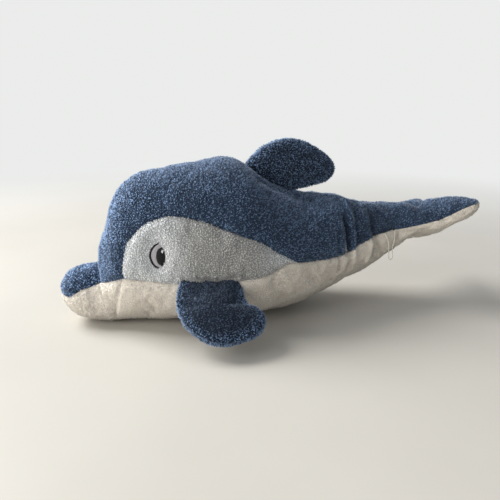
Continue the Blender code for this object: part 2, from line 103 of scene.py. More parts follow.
FLUKE_SINK = (  # how far the rim's seam hangs under the middle, at shares of the way along the rim
    (0.0, 0.5), (0.10, 3.5), (0.23, 4.7), (0.34, 4.7), (0.40, 3.6), (0.52, -1.8), (0.60, -3.0), (0.66, -2.5),
    (0.75, -1.0), (0.88, 0.0), (1.0, 0.0),
)
FLUKE_FOLDS = (  # points seen from above, depth (a ridge when negative) and width
    (((14.7, 55.0), (25.3, 35.0), (40.0, 10.0)), 5.5, 6.5), (((30.0, 55.0), (42.0, 35.0), (50.0, 15.0)), -1.5, 5.0),
)
FLUKE_NOTCH, FLUKE_ROOT_HALF, FLUKE_LOBE_HALF = 61.0 * MM, 29.5 * MM, 17.0 * MM
EYE_OUTER = ((-64.0, 102.2), (-69.4, 98.8), (-73.6, 92.8), (-74.2, 86.0), (-72.0, 79.4), (-69.0, 75.8), (-66.0, 74.6))
EYE_INNER = ((-64.6, 100.6), (-68.6, 97.4), (-71.8, 92.2), (-72.2, 86.4), (-70.4, 80.6), (-68.0, 77.6), (-65.6, 76.4))
EYE_WHITE = (*EYE_INNER, (-61.8, 76.0))
PUPIL_FRONT = ((-61.8, 97.2), (-65.6, 94.4), (-67.4, 87.4), (-66.0, 80.6), (-62.6, 77.8))
PUPIL_REAR = ((-61.2, 97.0), (-59.2, 93.2), (-58.6, 87.2), (-59.4, 81.2), (-61.8, 77.9))
GLINT_FRONT = ((-61.0, 94.8), (-61.7, 93.2), (-61.1, 91.6))
GLINT_REAR = ((-60.6, 94.8), (-59.8, 93.2), (-60.5, 91.6))
THREAD_ENDS = ((201.4, 90.4), (215.6, 92.6))
THREAD_HANG = (
    (204.6, -35.8, 84.0), (206.5, -36.5, 76.0), (207.4, -36.0, 69.0), (207.8, -36.0, 64.2), (207.8, -36.1, 61.2),
    (208.6, -36.1, 59.4), (210.4, -35.9, 58.6), (212.2, -35.7, 59.4), (213.0, -35.7, 61.2), (212.9, -35.6, 64.2),
    (212.2, -35.1, 69.5), (213.0, -34.5, 76.5), (215.0, -33.4, 84.5),
)
THREAD = 1.1 * MM

# ---- cloth ----
PLUSH = 3.0 * MM
NAP = 2.4 * MM
PILE = 2.3 * MM  # length of a tuft
SEAM_DEPTH = 2.0 * MM  # how far the cloth dips into a seam
SEAM_ROLL = 4.5 * MM  # how wide the cloth rolls into it
GRAIN = 2.4 * MM  # mesh spacing of the cloth
SETTLING_FRAMES = 20
SHORT_NAP = {"spacing": 1.6, "length": 1.0 * MM, "width": 1.7, "lean": 0.9, "disorder": 0.4}
LONG_NAP = {"spacing": 1.6, "length": 1.4 * MM, "width": 1.9, "lean": 0.8, "disorder": 0.4}

# Creases in the side view: points, depth (a ridge when negative) and width, in millimetres
CREASES = (
    (((152.0, 128.0), (152.8, 122.7), (155.0, 113.8), (156.9, 102.1), (157.9, 91.1), (156.5, 80.0)), -3.6, 2.5),
    (((148.0, 112.0), (148.8, 104.0), (149.9, 96.0), (150.5, 88.0), (150.0, 76.5)), 4.8, 4.2),
    (((140.0, 104.0), (140.0, 96.0), (141.5, 88.0), (142.0, 80.0)), -1.8, 2.8),
    (((136.0, 98.0), (136.5, 90.0), (138.5, 78.0)), 1.8, 3.0),
    (((162.5, 118.0), (163.5, 109.0), (164.5, 98.0), (165.0, 84.0)), 1.3, 3.6),
    (((186.5, 118.4), (185.8, 112.5), (185.0, 104.5), (185.7, 90.0)), 2.0, 3.0),
    (((178.0, 124.0), (177.0, 112.0), (176.5, 98.0), (176.0, 86.0)), -1.0, 4.0),
    (((139.7, 70.0), (140.0, 62.0), (138.9, 54.0)), 2.4, 3.0),
    (((154.0, 73.0), (154.5, 62.0), (152.0, 50.0)), 1.4, 2.6),
    (((160.0, 76.0), (160.5, 64.0), (158.0, 48.0)), -1.6, 5.0),
    (((182.6, 86.0), (182.0, 74.0), (178.0, 58.0)), -2.4, 3.2),
    (((191.6, 87.0), (193.0, 76.0), (192.0, 64.0)), 3.2, 6.0),
    (((58.7, 62.7), (60.0, 50.0), (64.5, 34.0)), 1.8, 9.0),
    (((41.6, 58.1), (44.0, 42.0), (50.2, 26.0)), -1.2, 8.0),
    (((-26.0, 65.0), (-8.0, 62.5), (14.0, 66.0), (22.0, 65.0)), 1.8, 2.2),
    (((-14.0, 71.5), (2.0, 70.0), (20.0, 71.5)), 1.0, 2.0),
    (((-104.6, 60.0), (-107.0, 50.0), (-109.3, 41.5), (-111.0, 32.6), (-112.8, 25.0), (-114.4, 12.0)), 2.2, 1.9),
    (((-118.0, 112.0), (-108.0, 136.0), (-93.0, 156.0), (-74.0, 167.0)), 1.4, 20.0),
    (((-168.0, 52.0), (-160.0, 59.0), (-148.0, 63.0)), 1.4, 10.0),
    (((50.0, 157.0), (62.0, 150.5), (78.0, 143.0), (95.0, 136.0), (112.0, 133.0)), 1.6, 7.0),
)


def spline(points, at):
    """Points at places along a Catmull-Rom curve, counted in points."""
    points, at = np.asarray(points, float), np.asarray(at, float)
    last = len(points) - 1
    i = np.clip(at.astype(int), 0, last - 1)
    t = (at - i)[:, None]
    ends = np.vstack([2 * points[0] - points[1], points, 2 * points[-1] - points[-2]])
    a, b, c, d = ends[i], ends[i + 1], ends[i + 2], ends[i + 3]
    return 0.5 * (2 * b + (c - a) * t + (2 * a - 5 * b + 4 * c - d) * t**2 + (3 * b - a - 3 * c + d) * t**3)


def run_along(points):
    """How far along a line of points each one is."""
    return np.concatenate([[0], np.cumsum(np.linalg.norm(np.diff(points, axis=0), axis=1))])


def even(points, count):
    """count points evenly spaced along a dense line, ends kept."""
    run = run_along(points)
    at = np.linspace(0, run[-1], count)
    return np.stack([np.interp(at, run, points[:, k]) for k in range(points.shape[1])], 1)


def smooth(points, count):
    """count points evenly spaced along a smooth line, in metres."""
    dense = spline(points, np.linspace(0, len(points) - 1, 40 * len(points)))
    return even(dense * MM, count)


def closed_line(points, count):
    """count points evenly spaced round a closed smooth line, in metres."""
    total = len(points)
    looped = [points[(i - 2) % total] for i in range(total + 5)]
    dense = spline(looped, np.linspace(2, 2 + total, 40 * total))
    return even(dense * MM, count + 1)[:-1]


def unit(v):
    """Vectors of length 1."""
    return v / np.maximum(np.linalg.norm(v, axis=-1, keepdims=True), 1e-12)


def power(v, exponent):
    """A power that keeps its sign."""
    return np.sign(v) * np.abs(v) ** exponent


class Skin:
    """The outer surface through a row of sections. u counts the sections; theta goes round from the top by the left."""

    def __init__(self, sections):
        self.sections = np.array(sections) * MM
        self.end = len(sections) - 1

    def section(self, u):
        row = spline(self.sections, u)
        top, low = row[:, 0:2], row[:, 2:4]
        height = np.linalg.norm(top - low, axis=1)
        rise = (top - low) / height[:, None]
        return low + rise * (height * WIDEST)[:, None], rise, height * (1 - WIDEST), height * WIDEST, row[:, 4]

    def point(self, u, theta):
        middle, rise, up, down, half = self.section(u)
        side, high = np.sin(theta), np.cos(theta)
        reach = np.where(high > 0, up, down)
        exponent = 2 / np.where(high > 0, TOP_ROUND, LOW_ROUND)
        place = middle + rise * (reach * power(high, exponent))[:, None]
        return np.stack([place[:, 0], -half * power(side, exponent), np.maximum(place[:, 1], 0)], 1)

    def normal(self, u, theta):
        step = 0.02
        along = self.point(u + step, theta) - self.point(u - step, theta)
        around = self.point(u, theta + step) - self.point(u, theta - step)
        return unit(np.cross(around, along))

    def locate(self, places):
        """u and theta of the points on the left side that the side view shows at x, z."""
        x, z = np.asarray(places, float).T
        low, high = np.zeros(len(x)), np.full(len(x), float(self.end))
        for _ in range(40):
            half_way = (low + high) / 2
            middle, rise, *_ = self.section(half_way)
            ahead = (x - middle[:, 0]) * rise[:, 1] - (z - middle[:, 1]) * rise[:, 0] > 0
            low, high = np.where(ahead, half_way, low), np.where(ahead, high, half_way)
        middle, rise, up, down, _ = self.section(low)
        above = (x - middle[:, 0]) * rise[:, 0] + (z - middle[:, 1]) * rise[:, 1]
        reach = np.where(above > 0, up, down)
        roundness = np.where(above > 0, TOP_ROUND, LOW_ROUND)
        return np.stack([low, np.arccos(power(np.clip(above / reach, -1, 1), roundness / 2))], 1)


trunk, snout = Skin(TRUNK), Skin(SNOUT)


def tree_of(points):
    """A search tree of points."""
    tree = kdtree.KDTree(len(points))
    for k, p in enumerate(points):
        tree.insert(p, k)
    tree.balance()
    return tree


def distance(points, tree):
    """How far each point is from the nearest one of a tree."""
    return np.array([tree.find(p)[2] for p in points])


def crease_lines():
    """Each crease on both sides of the body, as a tree of its points."""
    made = []
    for line, depth, width in CREASES:
        skin = snout if line[0][0] < -130 else trunk
        left = skin.point(*skin.locate(smooth(line, 60)).T)
        made.append((tree_of(np.vstack([left, left * (1, -1, 1)])), left, depth * MM, width * MM))
    return made


CREASE_TREES = crease_lines()


def neck_tree():
    """The line under the mouth where the snout's skin meets the trunk's."""
    turns = np.linspace(0, 2 * math.pi, 200)
    ring = trunk.point(np.zeros(200), turns)
    return tree_of(ring[ring[:, 2] < 50 * MM])


NECK_TREE = neck_tree()


def noise_at(points, scale, shift=(0, 0, 0)):
    """Smooth noise from -1 to 1 at each point. A larger scale gives smaller lumps."""
    return np.array([noise.noise(Vector(p) * scale + Vector(shift)) for p in points])


def relief(points):
    """How far stuffing and folds move each point of the body along its normal, and the painted shade in its narrow
    creases and painted light on their ridges.
    """
    moved, painted_shading = np.zeros(len(points)), np.zeros(len(points))
    for tree, line, depth, width in CREASE_TREES:
        low, high = line.min(0) - 4 * width, line.max(0) + 4 * width
        near = (points[:, 0] > low[0]) & (points[:, 0] < high[0]) & (points[:, 2] > low[2]) & (points[:, 2] < high[2])
        if near.any():
            d = distance(points[near], tree)
            moved[near] -= depth * np.exp(-((d / width) ** 2))
            # Narrow creases get painted shade, and narrow ridges painted light
            if width < 9.5 * MM:
                painted_shading[near] -= depth / (4.5 * MM) * np.exp(-((d / width) ** 2))
    # Under the mouth the cream cloth runs straight on from the chin to the body
    near = (np.abs(points[:, 0] + 124 * MM) < 40 * MM) & (points[:, 2] < 54 * MM)
    if near.any():
        low_down = np.clip((54 * MM - points[near, 2]) / (10 * MM), 0, 1)
        moved[near] += 2.4 * MM * np.exp(-distance(points[near], NECK_TREE) / (6.5 * MM)) * low_down
    return moved + (noise_at(points, 28) + 0.5 * noise_at(points, 75, (5, 1, 2))) * 1.1 * MM, painted_shading


# ---- materials ----
def group(name, inputs, outputs):
    made = bpy.data.node_groups.new(name, "ShaderNodeTree")
    for label, kind, value in inputs:
        socket = made.interface.new_socket(label, in_out="INPUT", socket_type=kind)
        if value is not None:
            socket.default_value = value
    for label, kind in outputs:
        made.interface.new_socket(label, in_out="OUTPUT", socket_type=kind)
    return made, made.nodes.new("NodeGroupInput"), made.nodes.new("NodeGroupOutput")


def node(tree, kind, links=None, **settings):
    """A node with its settings, and its inputs set or linked by name or number."""
    made = tree.nodes.new(kind)
    for key, value in settings.items():
        setattr(made, key, value)
    for key, value in (links or {}).items():
        socket = made.inputs[key]
        if isinstance(value, bpy.types.NodeSocket):
            tree.links.new(value, socket)
        else:
            socket.default_value = value
    return made


def maths(tree, operation, a, b, **settings):
    return node(tree, "ShaderNodeMath", {0: a, 1: b}, operation=operation, **settings).outputs[0]


def grey(tree, value):
    """A value as a colour."""
    return node(tree, "ShaderNodeCombineColor", {0: value, 1: value, 2: value}).outputs[0]


def attribute(tree, name, output="Fac"):
    return node(tree, "ShaderNodeAttribute", attribute_name=name).outputs[output]


def group_node(tree, shared, **values):
    """A shared group placed in a tree, with its own values."""
    made = node(tree, "ShaderNodeGroup", node_tree=shared)
    for key, value in values.items():
        made.inputs[key.replace("_", " ")].default_value = value
    return made


def new_material(name):
    made = bpy.data.materials.new(name)
    made.use_nodes = True
    return made, made.node_tree, made.node_tree.nodes["Principled BSDF"]


def mapped(tree, value, low, high, to_low, to_high, smoothly=False):
    kind = "SMOOTHSTEP" if smoothly else "LINEAR"
    links = {"Value": value, "From Min": low, "From Max": high, "To Min": to_low, "To Max": to_high}
    return node(tree, "ShaderNodeMapRange", links, interpolation_type=kind).outputs["Result"]


def blended(tree, factor, a, b, kind="MIX"):
    made = node(tree, "ShaderNodeMix", data_type="RGBA", blend_type=kind)
    for socket, value in ((made.inputs[0], factor), (made.inputs[6], a), (made.inputs[7], b)):
        if isinstance(value, bpy.types.NodeSocket):
            tree.links.new(value, socket)
        else:
            socket.default_value = value
    return made.outputs[2]


def brushed_group():
    """Soft patches where the pile lies another way, and fine fibre over them."""
    made, come, go = group(
        "brushed_pile",
        (("Patch Size", "NodeSocketFloat", 26.0), ("Fibre Size", "NodeSocketFloat", 900.0)),
        (("Patches", "NodeSocketFloat"), ("Fibre", "NodeSocketFloat")),
    )
    place = node(made, "ShaderNodeTexCoord").outputs["Object"]
    patch = node(made, "ShaderNodeTexNoise", {"Vector": place, "Scale": come.outputs["Patch Size"], "Detail": 3.0})
    fibre = node(made, "ShaderNodeTexNoise", {"Vector": place, "Scale": come.outputs["Fibre Size"], "Detail": 4.0})
    made.links.new(mapped(made, patch.outputs["Fac"], 0.32, 0.68, 0.0, 1.0, True), go.inputs["Patches"])
    made.links.new(fibre.outputs["Fac"], go.inputs["Fibre"])
    return made


def pile_group():
    """Colour of a tuft: darker at its root as painted shade, lighter at its tip as painted light, each a little
    different.
    """
    made, come, go = group(
        "tuft_colour",
        (
            ("Root", "NodeSocketColor", None), ("Middle", "NodeSocketColor", None), ("Tip", "NodeSocketColor", None),
            ("Patches", "NodeSocketFloat", 0.5), ("Fibre", "NodeSocketFloat", 0.5),
            ("Unevenness", "NodeSocketFloat", 1.0),
        ),
        (("Color", "NodeSocketColor"), ("Height", "NodeSocketFloat")),
    )
    tip = attribute(made, "tip")
    low = blended(made, mapped(made, tip, 0.05, 0.6, 0.0, 1.0, True), come.outputs["Root"], come.outputs["Middle"])
    spread = mapped(made, attribute(made, "tuft"), 0.0, 1.0, -0.55, 0.75)
    uneven = maths(made, "MULTIPLY", spread, come.outputs["Unevenness"])
    reach = maths(made, "ADD", mapped(made, tip, 0.35, 1.0, 0.0, 0.75), uneven)
    patches = mapped(made, come.outputs["Patches"], 0, 1, -0.16, 0.16)
    bright = maths(made, "ADD", reach, patches, use_clamp=True)
    high = blended(made, bright, low, come.outputs["Tip"])
    # Painted light and shade, carried by the cloth under the tuft
    tone = grey(made, mapped(made, attribute(made, "painted_light_shade"), -1.0, 1.0, 0.3, 1.7))
    high = blended(made, 1.0, high, tone, "MULTIPLY")
    shade = grey(made, mapped(made, come.outputs["Fibre"], 0.3, 0.7, 0.72, 1.22))
    made.links.new(blended(made, 1.0, high, shade, "MULTIPLY"), go.inputs["Color"])
    made.links.new(come.outputs["Fibre"], go.inputs["Height"])
    return made


BRUSHED, TUFTED = brushed_group(), pile_group()


def pile_normal_group():
    """Leans the light on a tuft towards the way the cloth under it faces, as dense pile does."""
    made, come, go = group("pile_normal", (("Softness", "NodeSocketFloat", 0.5),), (("Normal", "NodeSocketVector"),))
    skin = attribute(made, "skin", "Vector")
    own = node(made, "ShaderNodeNewGeometry").outputs["Normal"]
    both = node(made, "ShaderNodeMix", {0: come.outputs["Softness"], 4: own, 5: skin}, data_type="VECTOR").outputs[1]
    turned_by = node(made, "ShaderNodeVectorMath", {0: both}, operation="NORMALIZE").outputs[0]
    made.links.new(turned_by, go.inputs["Normal"])
    return made


PILE_NORMAL = pile_normal_group()


def plush_material(name, root, middle, tip, sheen, uneven=1.0, soft=0.5, shaded=None):
    """Plush of one colour, for its tufts and the cloth under them. shaded are the ends of a zone along X with painted
    shade.
    """
    made, tree, shader = new_material(name)
    brushed = group_node(tree, BRUSHED)
    colour = group_node(tree, TUFTED, Root=(*root, 1), Middle=(*middle, 1), Tip=(*tip, 1), Unevenness=uneven)
    for key in ("Patches", "Fibre"):
        tree.links.new(brushed.outputs[key], colour.inputs[key])
    base = colour.outputs["Color"]
    if shaded:
        place = node(tree, "ShaderNodeTexCoord").outputs["Object"]
        along = node(tree, "ShaderNodeSeparateXYZ", {0: place}).outputs[0]
        into = mapped(tree, along, shaded[0] - 0.02, shaded[0] + 0.02, 0.0, 1.0, True)
        out_of = mapped(tree, along, shaded[1] - 0.02, shaded[1] + 0.02, 1.0, 0.0, True)
        # Painted shade, duller and warmer, over the zone
        painted_shade_tint = blended(tree, maths(tree, "MULTIPLY", into, out_of), (1, 1, 1, 1), (0.66, 0.64, 0.615, 1))
        base = blended(tree, 1.0, base, painted_shade_tint, "MULTIPLY")
    tree.links.new(base, shader.inputs["Base Color"])
    lean = group_node(tree, PILE_NORMAL, Softness=soft)
    bump = node(tree, "ShaderNodeBump", {
        "Strength": 0.35, "Distance": 0.0006, "Height": colour.outputs["Height"], "Normal": lean.outputs["Normal"],
    })
    tree.links.new(bump.outputs["Normal"], shader.inputs["Normal"])
    tree.links.new(mapped(tree, brushed.outputs["Patches"], 0, 1, 0.85, 0.95), shader.inputs["Roughness"])
    shader.inputs["Sheen Weight"].default_value = sheen
    shader.inputs["Sheen Roughness"].default_value = 0.45
    shader.inputs["Sheen Tint"].default_value = (*[min(1, 0.42 + 1.3 * v) for v in tip], 1)
    shader.inputs["Specular IOR Level"].default_value = 0.15
    return made


def thread_material(name, colour, rough):
    """Embroidery or sewing thread with fine twisted strands."""
    made, tree, shader = new_material(name)
    brushed = group_node(tree, BRUSHED, Fibre_Size=1800.0, Patch_Size=300.0)
    shade = mapped(tree, brushed.outputs["Fibre"], 0.3, 0.7, 0.0, 1.0)
    dark, light = [0.6 * v for v in colour], [min(1.0, 1.25 * v + 0.004) for v in colour]
    tree.links.new(blended(tree, shade, (*dark, 1), (*light, 1)), shader.inputs["Base Color"])
    bump = node(tree, "ShaderNodeBump", {"Strength": 0.5, "Distance": 0.0002, "Height": brushed.outputs["Fibre"]})
    tree.links.new(bump.outputs["Normal"], shader.inputs["Normal"])
    rough = mapped(tree, brushed.outputs["Patches"], 0, 1, rough - 0.05, rough + 0.08)
    tree.links.new(rough, shader.inputs["Roughness"])
    shader.inputs["Sheen Weight"].default_value = 0.03
    shader.inputs["Specular IOR Level"].default_value = 0.3
    return made


BLUE = plush_material(
    "blue_plush_pile", (0.008, 0.013, 0.025), (0.046, 0.076, 0.136), (0.175, 0.265, 0.42), 1.0, uneven=1.15,
)
# The grey patch has painted shade over its middle, between the shaded ends
GREY = plush_material(
    "grey_plush_pile", (0.22, 0.225, 0.23), (0.90, 0.93, 0.95), (0.98, 1.0, 1.0), 0.6, uneven=1.6,
    shaded=(-0.042, 0.046),
)
CREAM = plush_material(
    "cream_plush_nap", (0.76, 0.69, 0.60), (0.86, 0.80, 0.71), (0.92, 0.875, 0.80), 0.25, uneven=0.5, soft=0.75,
)
FIBRE = plush_material("stuffing_fibre_wad", (0.6, 0.6, 0.6), (0.75, 0.75, 0.74), (0.9, 0.9, 0.89), 0.1)
BLACK = thread_material("black_satin_thread", (0.004, 0.004, 0.006), 0.5)
LILAC = thread_material("lilac_satin_thread", (0.52, 0.50, 0.52), 0.45)
WHITE = thread_material("white_satin_thread", (0.85, 0.85, 0.84), 0.4)
CREAM_THREAD = thread_material("cream_sewing_thread", (0.86, 0.81, 0.69), 0.6)

# Each cloth: its thickness, its material and the record's slot
BLUE_PLUSH = (PLUSH, BLUE, "blue_plush")
GREY_PLUSH = (PLUSH, GREY, "grey_plush")
CREAM_NAP = (NAP, CREAM, "cream_plush")


# ---- pieces ----
def add_object(name, data):
    made = bpy.data.objects.new(name, data)
    bpy.context.scene.collection.objects.link(made)
    return made


def fit(piece, slot, *nodes, fill=None):
    """Fixes a piece to the body and hides the solids that it stands for. Its slot and fill are not used."""
    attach(piece, "root")
    if nodes:
        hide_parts(*nodes)


def new_piece(name, vertices, faces, material, attributes=None):
    mesh = bpy.data.meshes.new(name)
    mesh.from_pydata([tuple(v) for v in vertices], [], faces)
    mesh.validate()
    for key, values in (attributes or {}).items():
        values = np.asarray(values, np.float32)
        kind = "FLOAT_VECTOR" if values.ndim == 2 else "FLOAT"
        layer = mesh.attributes.new(key, kind, "POINT")
        layer.data.foreach_set("vector" if values.ndim == 2 else "value", values.ravel())
    mesh.shade_smooth()
    mesh.materials.append(material)
    return add_object(name, mesh)


def grid_faces(rows, columns, offset=0, flip=False, wrap=False):
    """Four-sided faces of a grid of points; its columns close into rings when wrap."""
    i, j = np.meshgrid(np.arange(rows - 1), np.arange(columns if wrap else columns - 1), indexing="ij")
    here, below, n = i * columns, (i + 1) * columns, (j + 1) % columns
    quads = np.stack([here + j, here + n, below + n, below + j], -1).reshape(-1, 4)
    return (quads[:, ::-1] if flip else quads) + offset


def closed_faces(rows, columns):
    """Faces of a row of rings, closed at both ends round two points that come after the rings."""
    faces = grid_faces(rows, columns, 0, False, True).tolist()
    last, ends = (rows - 1) * columns, rows * columns
    for k in range(columns):
        n = (k + 1) % columns
        faces += [(n, k, ends), (last + k, last + n, ends + 1)]
    return faces


def cloth_shell(name, outer, inner, material, flip=False):
    """A closed sheet of cloth between two grids of points."""
    rows, columns = outer.shape[:2]
    count = rows * columns
    border = [(0, j) for j in range(columns - 1)] + [(i, columns - 1) for i in range(rows - 1)]
    border += [(rows - 1, j) for j in range(columns - 1, 0, -1)] + [(i, 0) for i in range(rows - 1, 0, -1)]
    ids = np.array([i * columns + j for i, j in border])
    after = np.roll(ids, -1)
    wall = np.stack([ids, after, after + count, ids + count], 1)
    wall = wall if flip else wall[:, ::-1]
    faces = np.vstack([grid_faces(rows, columns, 0, flip), grid_faces(rows, columns, count, not flip), wall])
    points = np.vstack([outer.reshape(-1, 3), inner.reshape(-1, 3)])
    # The cloth between the tufts takes the dark colour of their roots, as painted shade
    shade_between_tufts = {"tip": np.full(len(points), 0.3), "tuft": np.full(len(points), 0.4)}
    return new_piece(name, points, faces.tolist(), material, shade_between_tufts)


def tuft_mesh(name, bend, swell):
    """A short lock of pile: a bent, tapering body that is closed at its base."""
    sides, rings = 3, ((0.0, 0.5), (0.55, 0.5 * swell))
    points, tips, faces = [], [], []
    for high, radius in rings:
        for k in range(sides):
            turn = 2 * math.pi * k / sides
            points.append((radius * math.cos(turn) + bend * high**2, radius * math.sin(turn), high - 0.25))
            tips.append(high)
    for k in range(sides):
        n = (k + 1) % sides
        faces.append((k, n, sides + n, sides + k))
        faces.append((sides + k, sides + n, 2 * sides))
    points.append((bend * 1.1, 0.0, 0.75))
    tips.append(1.0)
    faces.append(tuple(reversed(range(sides))))
    made = new_piece(name, points, faces, BLUE, {"tip": tips})
    made.hide_render = True
    return made


TUFTS = bpy.data.collections.new("tufts")
for name, bend, swell in (("tuft_upright", 0.25, 1.05), ("tuft_bent", 0.7, 0.9), ("tuft_curled", -0.5, 1.2)):
    lock = tuft_mesh(name, bend, swell)
    bpy.context.scene.collection.objects.unlink(lock)
    TUFTS.objects.link(lock)


def geometry_tree(name, **sockets):
    """A Geometry Nodes tree with a geometry in and out and further named inputs, and its inputs."""
    tree = bpy.data.node_groups.new(name, "GeometryNodeTree")
    for label, kind in (("Geometry", "Geometry"), *sockets.items()):
        tree.interface.new_socket(label, in_out="INPUT", socket_type="NodeSocket" + kind)
    tree.interface.new_socket("Geometry", in_out="OUTPUT", socket_type="NodeSocketGeometry")
    return tree, tree.nodes.new("NodeGroupInput").outputs


def end_tree(tree, made, material):
    """Ends a tree with real geometry in its material."""
    real = node(tree, "GeometryNodeRealizeInstances", {"Geometry": made})
    done = node(tree, "GeometryNodeSetMaterial", {"Geometry": real.outputs[0], "Material": material})
    node(tree, "NodeGroupOutput", {0: done.outputs[0]})
    return tree


def pile_tree():
    """Geometry Nodes that cover a surface with tufts."""
    tree, come = geometry_tree(
        "pile_of_tufts", Spacing="Float", Length="Float", Width="Float", Lean="Float", Disorder="Float", Seed="Int",
        Tufts="Collection", Material="Material",
    )

    def named(kind, key):
        return node(tree, "GeometryNodeInputNamedAttribute", {"Name": key}, data_type=kind).outputs["Attribute"]

    def chance(kind, low, high, seed):
        made = node(tree, "FunctionNodeRandomValue", data_type=kind)
        slot = {"FLOAT_VECTOR": 0, "FLOAT": 2}[kind]
        made.inputs[slot].default_value, made.inputs[slot + 1].default_value = low, high
        tree.links.new(maths(tree, "ADD", come["Seed"], float(seed)), made.inputs["Seed"])
        return made.outputs[0] if kind == "FLOAT_VECTOR" else made.outputs[1]

    def vector(operation, a, b):
        made = node(tree, "ShaderNodeVectorMath", operation=operation)
        tree.links.new(a, made.inputs[0])
        tree.links.new(b, made.inputs["Scale" if operation == "SCALE" else 1])
        return made.outputs[0]

    scatter = node(tree, "GeometryNodeDistributePointsOnFaces", {
        "Mesh": come["Geometry"], "Distance Min": come["Spacing"], "Density Max": 600000.0,
        "Density Factor": named("FLOAT", "pile"), "Seed": come["Seed"],
    }, distribute_method="POISSON")
    lean = vector("SCALE", named("FLOAT_VECTOR", "nap"), come["Lean"])
    disorder = vector("SCALE", chance("FLOAT_VECTOR", (-1, -1, -1), (1, 1, 1), 1), come["Disorder"])
    way = vector("ADD", vector("ADD", scatter.outputs["Normal"], lean), disorder)
    angle = chance("FLOAT", 0.0, 6.2832, 2)
    spin = node(tree, "FunctionNodeAxisAngleToRotation", {"Axis": (0, 0, 1), "Angle": angle})
    turn = node(tree, "FunctionNodeAlignRotationToVector", {"Vector": way}, axis="Z")
    both = node(tree, "FunctionNodeRotateRotation", {"Rotation": turn.outputs[0], "Rotate By": spin.outputs[0]},
                rotation_space="LOCAL")
    thick = maths(tree, "MULTIPLY", come["Width"], chance("FLOAT", 0.75, 1.3, 3))
    tall = maths(tree, "MULTIPLY", come["Length"], named("FLOAT", "loft"))
    tall = maths(tree, "MULTIPLY", tall, chance("FLOAT", 0.8, 1.2, 4))
    scale = node(tree, "ShaderNodeCombineXYZ", {0: thick, 1: thick, 2: tall}).outputs[0]
    kinds = node(tree, "GeometryNodeCollectionInfo", {
        "Collection": come["Tufts"], "Separate Children": True, "Reset Children": True,
    })
    placed = node(tree, "GeometryNodeInstanceOnPoints", {
        "Points": scatter.outputs["Points"], "Instance": kinds.outputs[0], "Pick Instance": True,
        "Rotation": both.outputs[0], "Scale": scale,
    })
    stored = node(tree, "GeometryNodeStoreNamedAttribute", {
        "Geometry": placed.outputs[0], "Name": "tuft", "Value": chance("FLOAT", 0.0, 1.0, 5),
    }, data_type="FLOAT", domain="INSTANCE")
    faced = node(tree, "GeometryNodeStoreNamedAttribute", {
        "Geometry": scatter.outputs["Points"], "Name": "skin", "Value": scatter.outputs["Normal"],
    }, data_type="FLOAT_VECTOR", domain="POINT")
    tree.links.new(faced.outputs[0], placed.inputs["Points"])
    return end_tree(tree, stored.outputs[0], come["Material"])


PILE_TREE = pile_tree()


def run_tree(base, tree, values, name):
    """The plain mesh that a tree makes of an object, which is then removed."""
    modifier = base.modifiers.new("made", "NODES")
    modifier.node_group = tree
    for item in tree.interface.items_tree:
        if item.item_type == "SOCKET" and item.in_out == "INPUT" and item.name in values:
            modifier[item.identifier] = values[item.name]
    bpy.context.view_layer.update()
    mesh = bpy.data.meshes.new_from_object(base.evaluated_get(bpy.context.evaluated_depsgraph_get()))
    mesh.name = name
    bpy.data.objects.remove(base)
    return add_object(name, mesh)


SEEDS = iter(range(11, 200))


def cover_with_pile(name, points, faces, nap, density, loft, tone, fabric, spacing=1.3, length=PILE, width=1.6,
                    lean=0.35, disorder=0.6):
    """Tufts over a surface; none grow where it rests on the floor."""
    material, slot = fabric[1:]
    density = np.where(points[:, 2] < 1.2 * MM, 0.0, density)
    # tone is the painted light and shade that darkens or lightens the tufts
    fields = {"pile": density, "loft": loft, "nap": nap, "painted_light_shade": tone}
    base = new_piece(name + "_base", points, faces, material, fields)
    made = run_tree(base, PILE_TREE, {
        "Spacing": spacing * MM, "Length": length, "Width": width * MM, "Lean": lean, "Disorder": disorder,
        "Seed": next(SEEDS), "Tufts": TUFTS, "Material": material,
    }, name)
    fit(made, slot)


def inside_body(points, margin=0.5 * MM):
    """Whether each point lies inside the body's skin by more than the margin."""
    spots = trunk.locate(points[:, [0, 2]])
    skin = trunk.point(*spots.T)
    close = np.abs(skin[:, 0] - points[:, 0]) + np.abs(skin[:, 2] - points[:, 2]) < 2 * MM
    return close & (np.abs(points[:, 1]) < np.abs(skin[:, 1]) - margin)


def seam(skin, line, count):
    """Spots along a line of the side view."""
    return skin.locate(smooth(line, count))


def resampled(skin, spots, count):
    """Spots spread evenly by length along a line of spots."""
    run = run_along(skin.point(*spots.T))
    at = np.linspace(0, run[-1], count)
    return np.stack([np.interp(at, run, spots[:, k]) for k in (0, 1)], 1)


